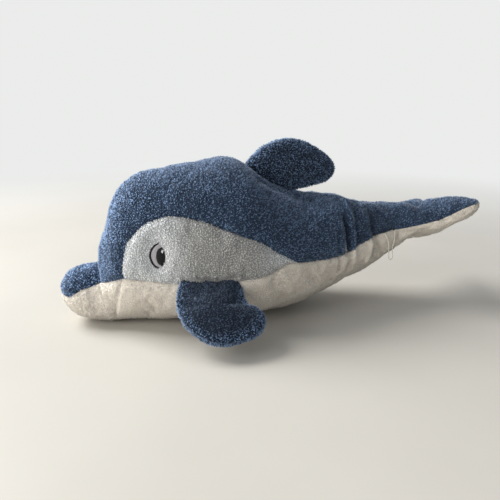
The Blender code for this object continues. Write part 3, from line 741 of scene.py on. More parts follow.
def settle(points, faces, held, grow, cap, pressure=4.0):
    """How far each point of a cover moves when its filling presses it out, with its seams held: a cloth simulation."""
    mesh = bpy.data.meshes.new("settling")
    mesh.from_pydata([tuple(p) for p in points], [], faces)
    cover = add_object("settling", mesh)
    scene = bpy.context.scene
    seams = cover.vertex_groups.new(name="seams")
    for k, weight in enumerate(held):
        seams.add([k], float(weight), "REPLACE")
    cloth = cover.modifiers.new("settle", "CLOTH")
    fabric = cloth.settings
    fabric.quality, fabric.mass, fabric.air_damping = 6, 0.25, 5.0
    fabric.tension_stiffness = fabric.compression_stiffness = 12.0
    fabric.shear_stiffness, fabric.bending_stiffness = 6.0, 0.3
    fabric.use_pressure, fabric.uniform_pressure_force = True, pressure
    fabric.shrink_min = -grow
    fabric.vertex_group_mass = "seams"
    fabric.effector_weights.gravity = 0.0
    cloth.collision_settings.use_collision = False
    cloth.point_cache.frame_start, cloth.point_cache.frame_end = 1, SETTLING_FRAMES
    for step in range(1, SETTLING_FRAMES + 1):
        scene.frame_set(step)
    settled = cover.evaluated_get(bpy.context.evaluated_depsgraph_get()).to_mesh()
    flat = np.empty(3 * len(points))
    settled.vertices.foreach_get("co", flat)
    moved = flat.reshape(-1, 3) - points
    bpy.data.objects.remove(cover)
    scene.frame_set(1)
    reach = np.linalg.norm(moved, axis=1, keepdims=True)
    return moved * np.minimum(1.0, cap / np.maximum(reach, 1e-9))


def cubic(grid, a, b, round_about=True):
    """Values between a grid's rows and columns, along smooth curves; the columns close when round_about."""
    def weights(t):
        return 0.5 * np.stack([-t + 2 * t**2 - t**3, 2 - 5 * t**2 + 3 * t**3, t + 4 * t**2 - 3 * t**3, -(t**2) + t**3])

    rows, columns = grid.shape[:2]
    i, j = np.clip(np.floor(a).astype(int), 0, rows - 2), np.floor(b).astype(int)
    j = j if round_about else np.clip(j, 0, columns - 2)
    down, across = weights(a - i), weights(b - j)
    total = 0.0
    for m in range(4):
        row = np.clip(i + m - 1, 0, rows - 1)
        for n in range(4):
            column = (j + n - 1) % columns if round_about else np.clip(j + n - 1, 0, columns - 1)
            total = total + (down[m] * across[n])[:, None] * grid[row, column]
    return total


class Stuffed:
    """How the whole stuffed body settles, as a grid along the snout and trunk and round them."""

    AROUND, RINGS_APART = 60, 5.5 * MM

    def __init__(self, seams, eye):
        self.rows = {}
        turns = np.linspace(0, 2 * math.pi, self.AROUND + 1)[:-1]
        rings, ways, start = [], [], 0
        for skin, first in ((snout, 0.35), (trunk, 0.0)):
            fine = np.linspace(first, skin.end, 600)
            run = run_along(skin.point(fine, np.full(600, 0.9)))
            count = int(run[-1] / self.RINGS_APART)
            places = np.interp(np.linspace(0, run[-1], count + 1), run, fine)
            self.rows[id(skin)] = (places, start)
            start += count
            places = places[:-1] if skin is snout else places
            rings += [skin.point(np.full(self.AROUND, u), turns) for u in places]
            ways += [skin.normal(np.full(self.AROUND, u), turns) for u in places]
        grid = np.array(rings)
        count = len(grid)
        points = np.vstack([grid.reshape(-1, 3), grid[0].mean(0), grid[-1].mean(0)])
        faces = closed_faces(count, self.AROUND)
        _, depths, away = seams.near(points)
        held = np.clip(1.3 - away / (5 * MM), 0, 1) * np.where(depths > 1.0 * MM, 1.0, 0.35)
        beside = np.minimum(distance(points * (1, -1, 1), eye), distance(points, eye))
        held = np.maximum(held, np.clip(1.5 - beside / (8 * MM), 0, 1))
        held[-2:] = 1.0
        held[: self.AROUND] = 1.0
        held = np.where(points[:, 2] < 1.5 * MM, np.maximum(held, 0.7), held)
        moved = settle(points, faces, held, grow=0.010, cap=3 * MM)
        # The modelled volume stays: what the cover gains evenly is taken off again
        grid, ways = moved[:-2].reshape(count, self.AROUND, 3), np.array(ways)
        gain = (grid * ways).sum(-1)
        for _ in range(3):
            gain = sum(np.roll(gain, k, 1) for k in range(-4, 5)) / 9
            tall = np.pad(gain, ((4, 4), (0, 0)), mode="edge")
            gain = sum(tall[k: k + count] for k in range(9)) / 9
        self.grid = grid - ways * gain[..., None]

    def moved(self, skin, spots):
        places, start = self.rows[id(skin)]
        along = start + np.interp(spots[:, 0], places, np.arange(len(places)))
        return cubic(self.grid, along, spots[:, 1] / (2 * math.pi) * self.AROUND)


class Seams:
    """Lines that the cloth is sewn along: at each point, the way that faces out and how far the cloth dips."""

    def __init__(self, *lines):
        self.points, self.ways = (np.vstack([line[k] for line in lines]) for k in (0, 1))
        self.depths = np.concatenate([np.broadcast_to(line[2], len(line[0])) for line in lines]) * MM
        self.tree = tree_of(self.points)

    def near(self, places):
        found = [self.tree.find(p)[1:] for p in places]
        index, away = np.array([f[0] for f in found]), np.array([f[1] for f in found])
        return self.ways[index], self.depths[index], away

    def mirrored(self):
        """The same seams on both sides of the body."""
        turn, depths = np.array([1, -1, 1]), self.depths / MM
        return Seams((self.points * turn, self.ways * turn, depths), (self.points, self.ways, depths))


def seam_line(skin, spots, depth, count=400):
    """A seam's points, the ways that they face and its depth in millimetres."""
    at = resampled(skin, spots, count)
    return skin.point(*at.T), skin.normal(*at.T), depth


def between(upper, lower, share):
    """A grid of spots from one edge to the other."""
    return upper[:, None, :] * (1 - share[None, :, None]) + lower[:, None, :] * share[None, :, None]


def cover_at(skin, flat, seams, stuffed, eye):
    """The cover at spots of the skin: its points, their normals, its painted light and shade and how near the eye is.
    """
    base, normals = skin.point(*flat.T), skin.normal(*flat.T)
    ways, depths, away = seams.near(base)
    close = np.exp(-((away / SEAM_ROLL) ** 2))[:, None]
    normals = unit(normals * (1 - close) + ways * close)
    gathers = noise_at(base, 150) * np.exp(-(((away - 5 * MM) / (4 * MM)) ** 2))
    raise_by, painted_shading = relief(base)
    beside = distance(base, eye)
    raise_by += gathers * 0.45 * MM - 1.7 * MM * np.exp(-((beside / (6 * MM)) ** 2))
    # Painted shade along the seams, darker where the cloth dips deeper into them
    painted_shading = np.clip(painted_shading - 0.35 * np.exp(-((away / (2 * MM)) ** 2)) * depths / SEAM_DEPTH, -1, 1)
    outer = base + normals * raise_by[:, None] - ways * (depths * np.exp(-((away / SEAM_ROLL) ** 1.5)))[:, None]
    outer += stuffed.moved(skin, flat)
    outer[:, 2] = np.maximum(outer[:, 2], 0.2 * MM)
    return outer, normals, painted_shading, beside


def sew_panel(name, skin, spots, seams, fabric, settled, sides=(1, -1), **pile):
    """A panel of cloth over a grid of spots on the left side, dipping into its seams, and its pile."""
    rows, columns = spots.shape[:2]
    flat = spots.reshape(-1, 2)
    outer, normals, painted_shading, beside = cover_at(skin, flat, seams, *settled)
    thickness, material, slot = fabric
    # Painted light and shade are weaker on the cream
    if material is CREAM:
        painted_shading = painted_shading * 0.6
    if material is BLUE:
        # Painted light on the head where the cloth faces up and towards the front and over the whole snout, and painted
        # shade towards the tail
        front = np.clip(-outer[:, 0] / (110 * MM), 0, 1)
        behind = np.clip((outer[:, 0] - 140 * MM) / (50 * MM), 0, 1)
        painted_front_light = 0.85 * front * np.clip(normals @ np.array([-0.6, 0.0, 0.8]) + 0.1, 0, 1)
        painted_shading = np.clip(painted_shading + painted_front_light + 0.45 * (skin is snout) - 0.42 * behind, -1, 1)
    density = np.where(beside < 0.9 * MM, 0.0, 1.0)
    loft = np.clip(0.5 + beside / (10 * MM), 0.5, 1.0)
    if material is CREAM:
        # The nap is longer on the chin, up to the crease behind it
        crease = np.interp(outer[:, 2], (12 * MM, 60 * MM), (-114.4 * MM, -104.6 * MM))
        loft = loft * np.where(outer[:, 0] < crease, 1.5, 1.0)
    inner = outer - normals * thickness
    inner[:, 2] = np.maximum(inner[:, 2], 0.8 * MM)
    nap = unit(skin.point(*(flat + (0.05, 0.0)).T) - skin.point(*flat.T))
    for side in sides:
        turn = np.array([1, side, 1])
        tag = {1: "left", -1: "right"}[side]
        label = f"{name}_{tag}" if len(sides) == 2 else name
        shell = cloth_shell(label + "_cover", (outer * turn).reshape(rows, columns, 3),
                            (inner * turn).reshape(rows, columns, 3), material, side < 0)
        fit(shell, slot, label, fill=0.8)
        faces = grid_faces(rows, columns, 0, side < 0).tolist()
        cover_with_pile(label + "_pile", outer * turn, faces, nap * turn, density, loft, painted_shading, fabric, **pile)


def shares(reach):
    """Shares of the way across a panel, one grain of the mesh apart."""
    return np.linspace(0.0015, 0.9985, max(8, int(reach / GRAIN)) + 1)


def grains(points):
    """How many grains of the mesh a line is long."""
    return int(run_along(points)[-1] / GRAIN)


def other_side(edge):
    """A line of spots, mirrored to the right side of the body."""
    return np.stack([edge[:, 0], 2 * math.pi - edge[:, 1]], 1)


def make_body():
    """The body's panels. Returns what the embroidery needs to lie on them."""
    lip = np.vstack([[(0.0, math.pi / 2)], seam(snout, LIP_LINE, 40)[1:]])
    lip[-1, 0] = snout.end
    neck = seam(trunk, NECK_LINE, 16)
    neck[0] = (0.0, lip[-1, 1])
    patch_top, patch_low = seam(trunk, PATCH_TOP, 100), seam(trunk, PATCH_LOW, 100)
    front, tail = seam(trunk, FRONT_LINE, 24), seam(trunk, TAIL_LINE, 80)
    tail[-1] = (float(trunk.end), tail[-1, 1])
    blue_edge = np.vstack([neck, front[1:], patch_top[1:], tail[1:]])
    cream_edge = np.vstack([neck, patch_low[1:], tail[1:]])

    count = 241
    round_about = np.linspace(0, 2 * math.pi, count)
    at_neck, at_snout = np.zeros(count), np.full(count, float(snout.end))
    meet = unit(trunk.normal(at_neck, round_about) + snout.normal(at_snout, round_about))
    above_mouth = (round_about < neck[0, 1]) | (round_about > 2 * math.pi - neck[0, 1])
    neck_ring = (trunk.point(at_neck, round_about), meet, np.where(above_mouth, 2.2, 0.3))
    tail_ring = seam_line(trunk, np.stack([np.full(count, float(trunk.end)), round_about], 1), 1.5, 240)
    top_line = seam_line(trunk, np.stack([np.linspace(0, trunk.end, 300), np.zeros(300)], 1), 1.3)
    snout_line = seam_line(snout, np.stack([np.linspace(0.3, snout.end, 100), np.zeros(100)], 1), 1.2, 160)
    blue_line, cream_line = seam_line(trunk, blue_edge, 1.7, 600), seam_line(trunk, cream_edge, 2.0, 600)
    lip_line = seam_line(snout, lip, 1.4, 240)
    eye = eye_area()
    body_seams = Seams(blue_line, cream_line, neck_ring, tail_ring)
    all_seams = Seams(blue_line, cream_line, neck_ring, tail_ring, top_line, snout_line, lip_line)
    settled = Stuffed(all_seams.mirrored(), eye), eye

    count = grains(blue_line[0])
    lower = resampled(trunk, blue_edge, count)
    run = np.linspace(0, 1, count)
    upper = np.stack([0.5 * trunk.end * run + 0.5 * lower[:, 0], np.zeros(count)], 1)
    back_seams = Seams(blue_line, cream_line, neck_ring, tail_ring, top_line)
    sew_panel("back", trunk, between(upper, lower, shares(0.135)), back_seams, BLUE_PLUSH, settled)

    # The patch's front edge bends with its seam, and straightens over its first third
    count = grains(trunk.point(*patch_top.T))
    top, low = resampled(trunk, patch_top, count), resampled(trunk, patch_low, count)
    across = shares(0.08)
    bent = resampled(trunk, front[::-1], len(across)) - (top[0] * (1 - across[:, None]) + low[0] * across[:, None])
    fade = np.clip(1 - np.linspace(0, 1, count) / 0.3, 0, 1)[:, None, None] ** 2
    sew_panel("face_patch", trunk, between(top, low, across) + bent[None] * fade, body_seams, GREY_PLUSH, settled,
              spacing=1.5, width=1.75)

    edge = resampled(trunk, cream_edge, grains(cream_line[0]))
    sew_panel("belly", trunk, between(edge, other_side(edge), shares(0.24)), body_seams.mirrored(), CREAM_NAP,
              settled, sides=(1,), **SHORT_NAP)

    edge = resampled(snout, lip, grains(lip_line[0]) + 10)
    ridge = np.stack([edge[:, 0], np.zeros(len(edge))], 1)
    top_seams, chin_seams = Seams(lip_line, neck_ring, snout_line), Seams(lip_line, neck_ring).mirrored()
    sew_panel("snout_top", snout, between(ridge, edge, shares(0.06)), top_seams, BLUE_PLUSH, settled,
              spacing=1.4, length=PILE * 1.25, width=1.7, disorder=0.8)
    sew_panel("chin", snout, between(edge, other_side(edge), shares(0.11)), chin_seams, CREAM_NAP, settled,
              sides=(1,), **SHORT_NAP)
    return body_seams, *settled


def eye_area():
    """Points that fill the eye, from its outline to the pupil's rear."""
    front, rear = smooth(EYE_OUTER, 24), smooth(PUPIL_REAR, 24)
    share = np.linspace(0, 1, 12)[:, None, None]
    spots = trunk.locate((front[None] * (1 - share) + rear[None] * share).reshape(-1, 2))
    return tree_of(trunk.point(*spots.T))


def make_stuffing():
    """The loose fibre that fills the body."""
    around = 64
    turns = np.linspace(0, 2 * math.pi, around + 1)[:-1]

    def ring(skin, u, depth):
        at = np.full(around, float(u))
        return skin.point(at, turns) - skin.normal(at, turns) * depth

    neck = trunk.point(np.zeros(around), turns)
    rings = [ring(snout, u, PLUSH + 3.5 * MM) for u in np.linspace(1, 5.2, 17)]
    rings.append(neck.mean(0) + (neck - neck.mean(0)) * 0.68)
    rings += [ring(trunk, u, PLUSH + 6.5 * MM * (1 - u / 20)) for u in np.linspace(1.3, trunk.end - 0.1, 78)]
    points = np.array(rings).reshape(-1, 3)
    points = points + noise_at(points, 60)[:, None] * 0.8 * MM * (0, 0.5, 0.5)
    ends = np.array([rings[0].mean(0), rings[-1].mean(0)])
    made = new_piece("body_wadding", np.vstack([points, ends]), closed_faces(len(rings), around), FIBRE)
    fit(made, "stuffing_fibre", "body_stuffing", fill=0.8)


def turned(place, points):
    """Points of any grid, moved from a fin's own axes to its place on the body."""
    flat = points.reshape(-1, 3) @ np.array(place.to_3x3()).T + np.array(place.translation)
    return flat.reshape(points.shape)


def dome(share, half, roundness=2.6):
    """Half thickness of a stuffed fin at a share of the way from its middle to its rim."""
    return half * np.sqrt(np.maximum(0.0, 1 - share**roundness))


def rim_shares(count):
    """Shares of the way from a fin's middle to its rim, closer together at the rim."""
    return np.sin(np.linspace(0.06, 1, count) * math.pi / 2)


def painted_rim_light(count, middle):
    """Painted light along a fin's rim, and painted shade of the given value in its middle."""
    return middle + (0.75 - middle) * np.clip((rim_shares(count) - 0.7) / 0.3, 0, 1) ** 1.2


def closed_fin(name, rings, fill, middle=-0.1):
    """A blue ply of a fin, from its middle out to its rim and back inside, closed at both middles, and its pile."""
    outer, inner, nap, keep = rings
    count, around = outer.shape[:2]
    poles = np.array([outer[0].mean(0), inner[0].mean(0)])
    points = np.vstack([outer.reshape(-1, 3), inner[::-1].reshape(-1, 3), poles])
    made = new_piece(name + "_cover", points, closed_faces(2 * count, around), BLUE)
    fix_facing(made)
    fit(made, "blue_plush", name, fill=fill)
    base = np.vstack([outer.reshape(-1, 3), poles[:1]])
    faces = grid_faces(count, around, 0, False, True).tolist()
    faces += [((k + 1) % around, k, count * around) for k in range(around)]
    nap = np.vstack([nap.reshape(-1, 3), nap[:1, 0]])
    # Painted light along the rim and painted shade in the middle of the ply
    tone = np.append(np.repeat(painted_rim_light(count, middle), around), middle)
    faces = facing_out(base, faces, made)
    cover_with_pile(name + "_pile", base, faces, nap, np.append(keep, 1.0), np.ones(len(base)), tone, BLUE_PLUSH)


def fix_facing(made):
    """Turns a closed piece's faces out."""
    bm = bmesh.new()
    bm.from_mesh(made.data)
    bmesh.ops.recalc_face_normals(bm, faces=bm.faces)
    if bm.calc_volume(signed=True) < 0:
        bmesh.ops.reverse_faces(bm, faces=bm.faces)
    bm.to_mesh(made.data)
    bm.free()


def facing_out(points, faces, closed):
    """A surface's faces, turned if need be to point the way the closed piece does there."""
    probe = faces[len(faces) // 2]
    a, b, c = (points[k] for k in probe[:3])
    normal = unit(np.cross(b - a, c - a))
    centre = np.mean([points[k] for k in probe], axis=0)
    out = closed.closest_point_on_mesh(Vector(centre))[2]
    return faces if float(normal @ np.array(out)) > 0 else [tuple(reversed(f)) for f in faces]


def settle_sheet(grid, held, out, round_about, **how):
    """How far a dense grid moves when every second of its points settles. out is the way its filling presses."""
    rows, columns = grid.shape[:2]

    def every_second(count):
        return np.unique(np.round(np.linspace(0, count - 1, count // 2 + 1)).astype(int))

    i = every_second(rows)
    j = np.arange(0, columns, 2) if round_about else every_second(columns)
    coarse, kept = grid[i][:, j], held[i][:, j]
    faces = grid_faces(len(i), len(j), 0, False, round_about)
    points = coarse.reshape(-1, 3)
    a, b, _, d = (points[faces[:, k]] for k in range(4))
    if (np.cross(b - a, d - a) @ out).sum() < 0:
        faces = faces[:, ::-1]
    moved = settle(points, faces.tolist(), kept.ravel(), **how).reshape(coarse.shape)
    along = np.interp(np.arange(rows), i, np.arange(len(i)))
    across = np.arange(columns) / 2 if round_about else np.interp(np.arange(columns), j, np.arange(len(j)))
    return cubic(moved, np.repeat(along, columns), np.tile(across, rows), round_about).reshape(grid.shape)


def fin_rings(outline, middle, half, place, level, around=110, count=22):
    """One ply of a fin, above (1) or below (-1): its outer and inner rings, its nap and where its pile grows."""
    rim = closed_line(outline, around)
    centre = np.array(middle) * MM
    share = rim_shares(count)
    flat = centre + (rim[None] - centre) * share[:, None, None]
    high = dome(share, half)[:, None] * np.ones(around)
    plane = np.concatenate([flat, (level * high)[..., None]], -1).reshape(-1, 3)
    lumps = noise_at(plane, 45, (level, 3, 7)).reshape(count, around)
    pucker = noise_at(plane * (1, 1, 0), 140).reshape(count, around)
    edge = np.exp(-(((1 - share) / 0.16) ** 2))[:, None]
    swell = (lumps * 1.0 * MM + pucker * edge * 0.9 * MM) * (1 - share**6)[:, None]
    outer = np.concatenate([flat, (level * 0.93 * (high + swell))[..., None]], -1)
    held = np.clip((share - 0.97) / 0.02, 0, 1)[:, None] * np.ones(around)
    outer = outer + settle_sheet(outer, held, np.array([0, 0, level]), True, pressure=3.0, grow=0.035, cap=2.2 * MM)
    outer[..., 2] = level * np.maximum(level * outer[..., 2], 0.2 * MM * (1 - share[:, None]))
    inner = outer * 1.0
    inner[..., 2] = level * np.maximum(level * outer[..., 2] - PLUSH, 0.1 * MM * (1 - share[:, None]))
    outward = np.zeros_like(outer)
    outward[..., :2] = unit(flat - centre)
    nap = (outward.reshape(-1, 3) @ np.array(place.to_3x3()).T).reshape(outer.shape)
    outer, inner = turned(place, outer), turned(place, inner)
    return outer, inner, nap, np.where(inside_body(outer.reshape(-1, 3)), 0.0, 1.0)


def fin_filling(name, outline, middle, half, place):
    """The fibre between two plies."""
    around = 48
    depth = half - PLUSH - 1.5 * MM
    rim = closed_line(outline, around)
    centre = np.array(middle) * MM
    share = np.array([0.3, 0.6, 0.8, 0.88])
    rings = []
    for s, sign in [*((s, 1) for s in share), *((s, -1) for s in share[::-1])]:
        flat = centre + (rim - centre) * s
        rings.append(np.column_stack([flat, np.full(around, sign * depth * math.sqrt(1 - (s / 0.9) ** 3))]))
    points = np.vstack([*rings, [[*centre, depth], [*centre, -depth]]])
    made = new_piece(name + "_wadding", turned(place, points), closed_faces(len(rings), around), FIBRE)
    fix_facing(made)
    fit(made, "stuffing_fibre", name + "_stuffing", fill=0.7)


def make_dorsal_fin():
    upright = Matrix(((1, 0, 0, 0), (0, 0, -1, 0), (0, 1, 0, 0), (0, 0, 0, 1)))
    foot = Matrix.Translation(Vector((0, 0, 168.0)) * MM)
    place = foot @ Matrix.Rotation(math.radians(-3), 4, "X") @ foot.inverted() @ upright
    form = DORSAL, (90.0, 168.0), 12 * MM, place
    for tag, level in (("left", 1), ("right", -1)):
        closed_fin(f"dorsal_fin_{tag}", fin_rings(*form, level), 0.7)
    fin_filling("dorsal_fin", *form)


def make_flippers():
    droop = math.radians(32)
    for tag, side in (("left", -1), ("right", 1)):
        out = Vector((0, side * math.cos(droop), -math.sin(droop)))
        up = Vector((0, side * math.sin(droop), math.cos(droop)))
        turn = Matrix((Vector((1, 0, 0)), out, up)).transposed().to_4x4()
        place = Matrix.Translation(Vector((-13.0, side * 78.0, 53.5)) * MM) @ turn
        form = FLIPPER, (3.0, 26.0), 9 * MM, place
        for part, level in (("upper", 1), ("lower", -1)):
            # The flippers' middles get deep painted shade
            closed_fin(f"flipper_{tag}_{part}", fin_rings(*form, level), 0.6, -0.9)
        fin_filling(f"flipper_{tag}", *form)


class FlukeForm:
    """A lobe of the flukes in its own axes: rows of points from the tail to the notch, each from the middle out."""

    ACROSS = 30

    def __init__(self):
        self.rim = smooth(FLUKE_RIM, 64)
        rows = len(self.rim)
        along = np.linspace(0, 1, rows)
        middle = self.rim[0, 0] + (FLUKE_NOTCH - self.rim[0, 0]) * along
        self.share = share = np.sin(np.linspace(0, 1, self.ACROSS) * math.pi / 2)
        self.start = np.stack([middle, np.zeros(rows)], 1)
        self.flat = flat = self.start[:, None] * (1 - share[None, :, None]) + self.rim[:, None] * share[None, :, None]
        fade = np.clip(middle / FLUKE_NOTCH, 0, 1)
        deep = FLUKE_ROOT_HALF + (FLUKE_LOBE_HALF - FLUKE_ROOT_HALF) * fade * (2 - fade)
        high = deep[:, None] * np.sqrt(1 - share**3)[None]
        # The last rows close round the notch between the lobes
        self.close = np.clip((rows - 1 - np.arange(rows)) / 7.0, 0, 1)[:, None]
        high = high * np.sqrt(1 - (1 - self.close) ** 2.2)
        # A groove runs forward from the notch, between the lobes
        groove = np.clip((middle - 5 * MM) / (50 * MM), 0, 1)[:, None] * np.exp(-((flat[..., 1] / (15 * MM)) ** 2))
        self.high = high * (1 - 0.6 * groove)
        # The rim's seam hangs, the top lies flatter, and the underside draws in where the lobe leaves the tail
        sink = np.interp(along, *np.array(FLUKE_SINK).T)
        self.sink = np.convolve(np.pad(sink, 3, mode="edge"), np.full(7, 1 / 7), "valid") * MM
        self.seam_level = -self.sink[:, None] * share[None] ** 2
        self.flatter = 1 - 0.17 * np.clip((middle + 5 * MM) / (30 * MM), 0, 1)[:, None]
        self.waist = 1 - 0.34 * np.exp(-(((along - 0.26) / 0.14) ** 2))[:, None]
        self.folded, self.shade = np.zeros_like(high), np.zeros_like(high)
        for line, depth, width in FLUKE_FOLDS:
            tree = tree_of(np.pad(smooth(line, 60), ((0, 0), (0, 1))))
            reach = distance(np.pad(flat.reshape(-1, 2), ((0, 0), (0, 1))), tree).reshape(high.shape)
            crease = depth * np.exp(-((reach / (width * MM)) ** 2)) * (1 - share**4)
            # The folds also paint shade in their hollows and light on their ridges
            self.folded, self.shade = self.folded + crease * MM, self.shade - crease / 5.0

    def ply(self, side, level, thickness):
        """Outer and inner grids of one lobe's upper (level 1) or lower (level -1) ply."""
        share, flat, high, seam_level = self.share, self.flat, self.high, self.seam_level
        spread = np.concatenate([flat[..., :1], -side * np.maximum(flat[..., 1:], 0.2 * MM)], -1)
        plane = np.concatenate([spread, (level * high)[..., None]], -1)
        lumps = noise_at(plane.reshape(-1, 3), 40, (side, 2, level)).reshape(high.shape)
        swell = lumps * 1.3 * MM * (1 - share**6)[None] * self.close
        seam_dip = 1.6 * MM * np.exp(-((flat[..., 1] / (4 * MM)) ** 2)) * self.close
        slack, folded = (self.flatter, self.folded) if level > 0 else (self.waist, 0)
        full = high * slack + swell - seam_dip - folded
        rise = np.where(level * seam_level < 0, full + level * seam_level, np.hypot(full, seam_level))
        outer = np.concatenate([spread, (level * rise)[..., None]], -1)
        held = np.maximum(np.clip((share - 0.97) / 0.02, 0, 1)[None] * np.ones((len(flat), 1)), 1 - self.close)
        held[:, 0] = held[:1] = 1.0
        out = np.array([0, 0, level])
        outer = outer + settle_sheet(outer, held, out, False, pressure=2.5, grow=0.02, cap=1.8 * MM)
        lowest = np.maximum(rise - 0.8 * MM, level * seam_level + 0.15 * MM)
        outer[..., 2] = level * np.maximum(level * outer[..., 2], lowest)
        inner = outer * 1.0
        inner[..., 2] = level * np.maximum(level * outer[..., 2] - thickness, level * seam_level + 0.1 * MM)
        return outer, inner

    def filling(self):
        """Upper and lower grids of the fibre between the plies, from one rim to the other."""
        sheets = []
        for level in (1, -1):
            sheet = []
            for s in (-0.84, -0.6, -0.3, 0.0, 0.3, 0.6, 0.84):
                at = self.start * (1 - abs(s)) + self.rim * abs(s)
                near = int(np.interp(abs(s), self.share, np.arange(self.ACROSS)))
                tall = 0.6 * self.high[:, near] - self.folded[:, near] - 4.5 * MM
                tall = level * np.maximum(tall, 0.3 * MM) - self.sink * s**2
                sheet.append(np.column_stack([at[:, 0], -np.sign(s) * at[:, 1], tall]))
            sheets.append(np.array(sheet)[:, 4:-6])
        return sheets


def make_flukes():
    """Two lobes sewn round their rim, blue above and cream below."""
    form = FlukeForm()
    place = Matrix.Translation(Vector((223.0, 0, 91.0)) * MM)
    place = place @ Matrix.Rotation(-math.radians(16), 4, "Y") @ Matrix.Rotation(-math.radians(12), 4, "X")
    for tag, side in (("left", 1), ("right", -1)):
        for part, level, fabric in (("top", 1, BLUE_PLUSH), ("bottom", -1, CREAM_NAP)):
            thickness, material, slot = fabric
            outer, inner = (turned(place, grid) for grid in form.ply(side, level, thickness))
            label = f"fluke_{part}_{tag}"
            made = cloth_shell(label + "_cover", outer, inner, material)
            fix_facing(made)
            fit(made, slot, label, fill=0.7)
            points = outer.reshape(-1, 3)
            faces = facing_out(points, grid_faces(*outer.shape[:2]).tolist(), made)
            nap = np.broadcast_to(np.array(place.to_3x3()) @ np.array([1.0, -0.4 * side, 0.0]), points.shape)
            keep = np.where(inside_body(points), 0.0, 1.0)
            # The upper ply gets painted shade all over, deeper in its folds
            tone = np.clip(form.shade - 0.47, -1, 1).ravel() if level > 0 else np.zeros(len(points))
            pile = {} if level > 0 else LONG_NAP
            cover_with_pile(label + "_pile", points, faces, nap, keep, np.ones(len(points)), tone, fabric, **pile)
    upper, lower = (turned(place, sheet) for sheet in form.filling())
    made = cloth_shell("fluke_wadding", upper, lower, FIBRE)
    fix_facing(made)
    fit(made, "stuffing_fibre", "fluke_stuffing", fill=0.7)


# ---- embroidery and thread ----
def stitch_tree():
    """Geometry Nodes that turn each line into a round thread."""
    tree, come = geometry_tree("satin_stitches", Radius="Float", Material="Material")
    line = node(tree, "GeometryNodeMeshToCurve", {"Mesh": come["Geometry"]}).outputs[0]
    ring = node(tree, "GeometryNodeCurvePrimitiveCircle", {"Resolution": 6, "Radius": come["Radius"]}).outputs[0]
    tube = node(tree, "GeometryNodeCurveToMesh", {"Curve": line, "Profile Curve": ring, "Fill Caps": True})
    return end_tree(tree, tube.outputs[0], come["Material"])


STITCHES = stitch_tree()
EYE_THREADS = (  # piece, its edges, threads; lift, arch and radius in millimetres; material and slot
    ("eye_outline", EYE_OUTER, EYE_INNER, 66, 0.3, 0.45, 0.27, BLACK, "black_embroidery"),
    ("eye_white", EYE_WHITE, PUPIL_FRONT, 58, 0.1, 0.35, 0.27, LILAC, "lilac_embroidery"),
    ("eye_pupil", PUPIL_FRONT, PUPIL_REAR, 52, 0.25, 0.6, 0.27, BLACK, "black_embroidery"),
    ("eye_glint", GLINT_FRONT, GLINT_REAR, 9, 0.95, 0.25, 0.24, WHITE, "white_embroidery"),
)


def embroider(cheek, name, front, rear, count, lift, arch, radius, material, slot):
    """Threads laid side by side from one line to the other, on both cheeks."""
    steps = 7
    share = np.linspace(0, 1, steps)[None, :, None]
    flat = smooth(front, count)[:, None] * (1 - share) + smooth(rear, count)[:, None] * share
    uneven = np.array([noise.noise(Vector((k * 3.1, 0.5, 2.0))) for k in range(count)])
    flat[..., 0] += uneven[:, None] * 0.25 * MM
    points, normals, _, _ = cover_at(trunk, trunk.locate(flat.reshape(-1, 2)), *cheek)
    rise = (lift + arch * np.sin(np.linspace(0, math.pi, steps)))[None] * np.ones((count, 1)) * MM
    left = points + normals * rise.reshape(-1, 1)
    edges = [(k * steps + j, k * steps + j + 1) for k in range(count) for j in range(steps - 1)]
    for tag, side in (("left", 1), ("right", -1)):
        mesh = bpy.data.meshes.new(name)
        mesh.from_pydata([tuple(p) for p in left * (1, side, 1)], edges, [])
        values = {"Radius": radius * MM, "Material": material}
        made = run_tree(add_object(name, mesh), STITCHES, values, f"{name}_{tag}_stitches")
        made.data.shade_smooth()
        fix_facing(made)
        fit(made, slot, f"{name}_{tag}")


def make_thread_loop():
    """A loop of two-ply thread whose ends come out of the seam along the tail."""
    along_count, sides, twist = 160, 12, 0.42
    spots = trunk.locate(np.array(THREAD_ENDS) * MM)
    ends = (trunk.point(*spots.T) + trunk.normal(*spots.T) * (THREAD / 2 + 0.3 * MM)) / MM
    route = smooth((ends[0], *THREAD_HANG, ends[1]), along_count)
    along = unit(np.gradient(route, axis=0))
    side = unit(np.cross(along, (0.0, 1.0, 0.0)))
    up = np.cross(side, along)
    angle = 2 * math.pi * np.arange(sides) / sides
    lobes = (0.82 + 0.18 * np.abs(np.cos(angle)))[None, :, None]
    turn = (angle[None] + twist * np.arange(along_count)[:, None])[..., None]
    rings = route[:, None] + (side[:, None] * np.cos(turn) + up[:, None] * np.sin(turn)) * THREAD / 2 * lobes
    last = (along_count - 1) * sides
    faces = grid_faces(along_count, sides, 0, False, True).tolist()
    faces += [tuple(range(sides))[::-1], tuple(last + m for m in range(sides))]
    made = new_piece("thread_loop_twisted", rings.reshape(-1, 3), faces, CREAM_THREAD)
    fix_facing(made)
    fit(made, "cream_thread", "thread_loop")


# ---- floor, light and camera ----
PALE_ROOM = (0.83, 0.84, 0.83, 1)
LAMPS = (  # name, place, aim, size, power, colour
    ("window", (-2.0, 1.2, 2.15), (0.0, 0.0, 0.1), 1.9, 158.0, (1.0, 0.99, 0.98)),
    ("room", (-1.9, -0.8, 0.7), (0.0, 0.0, 0.08), 1.4, 29.0, (1.0, 0.98, 0.95)),
)


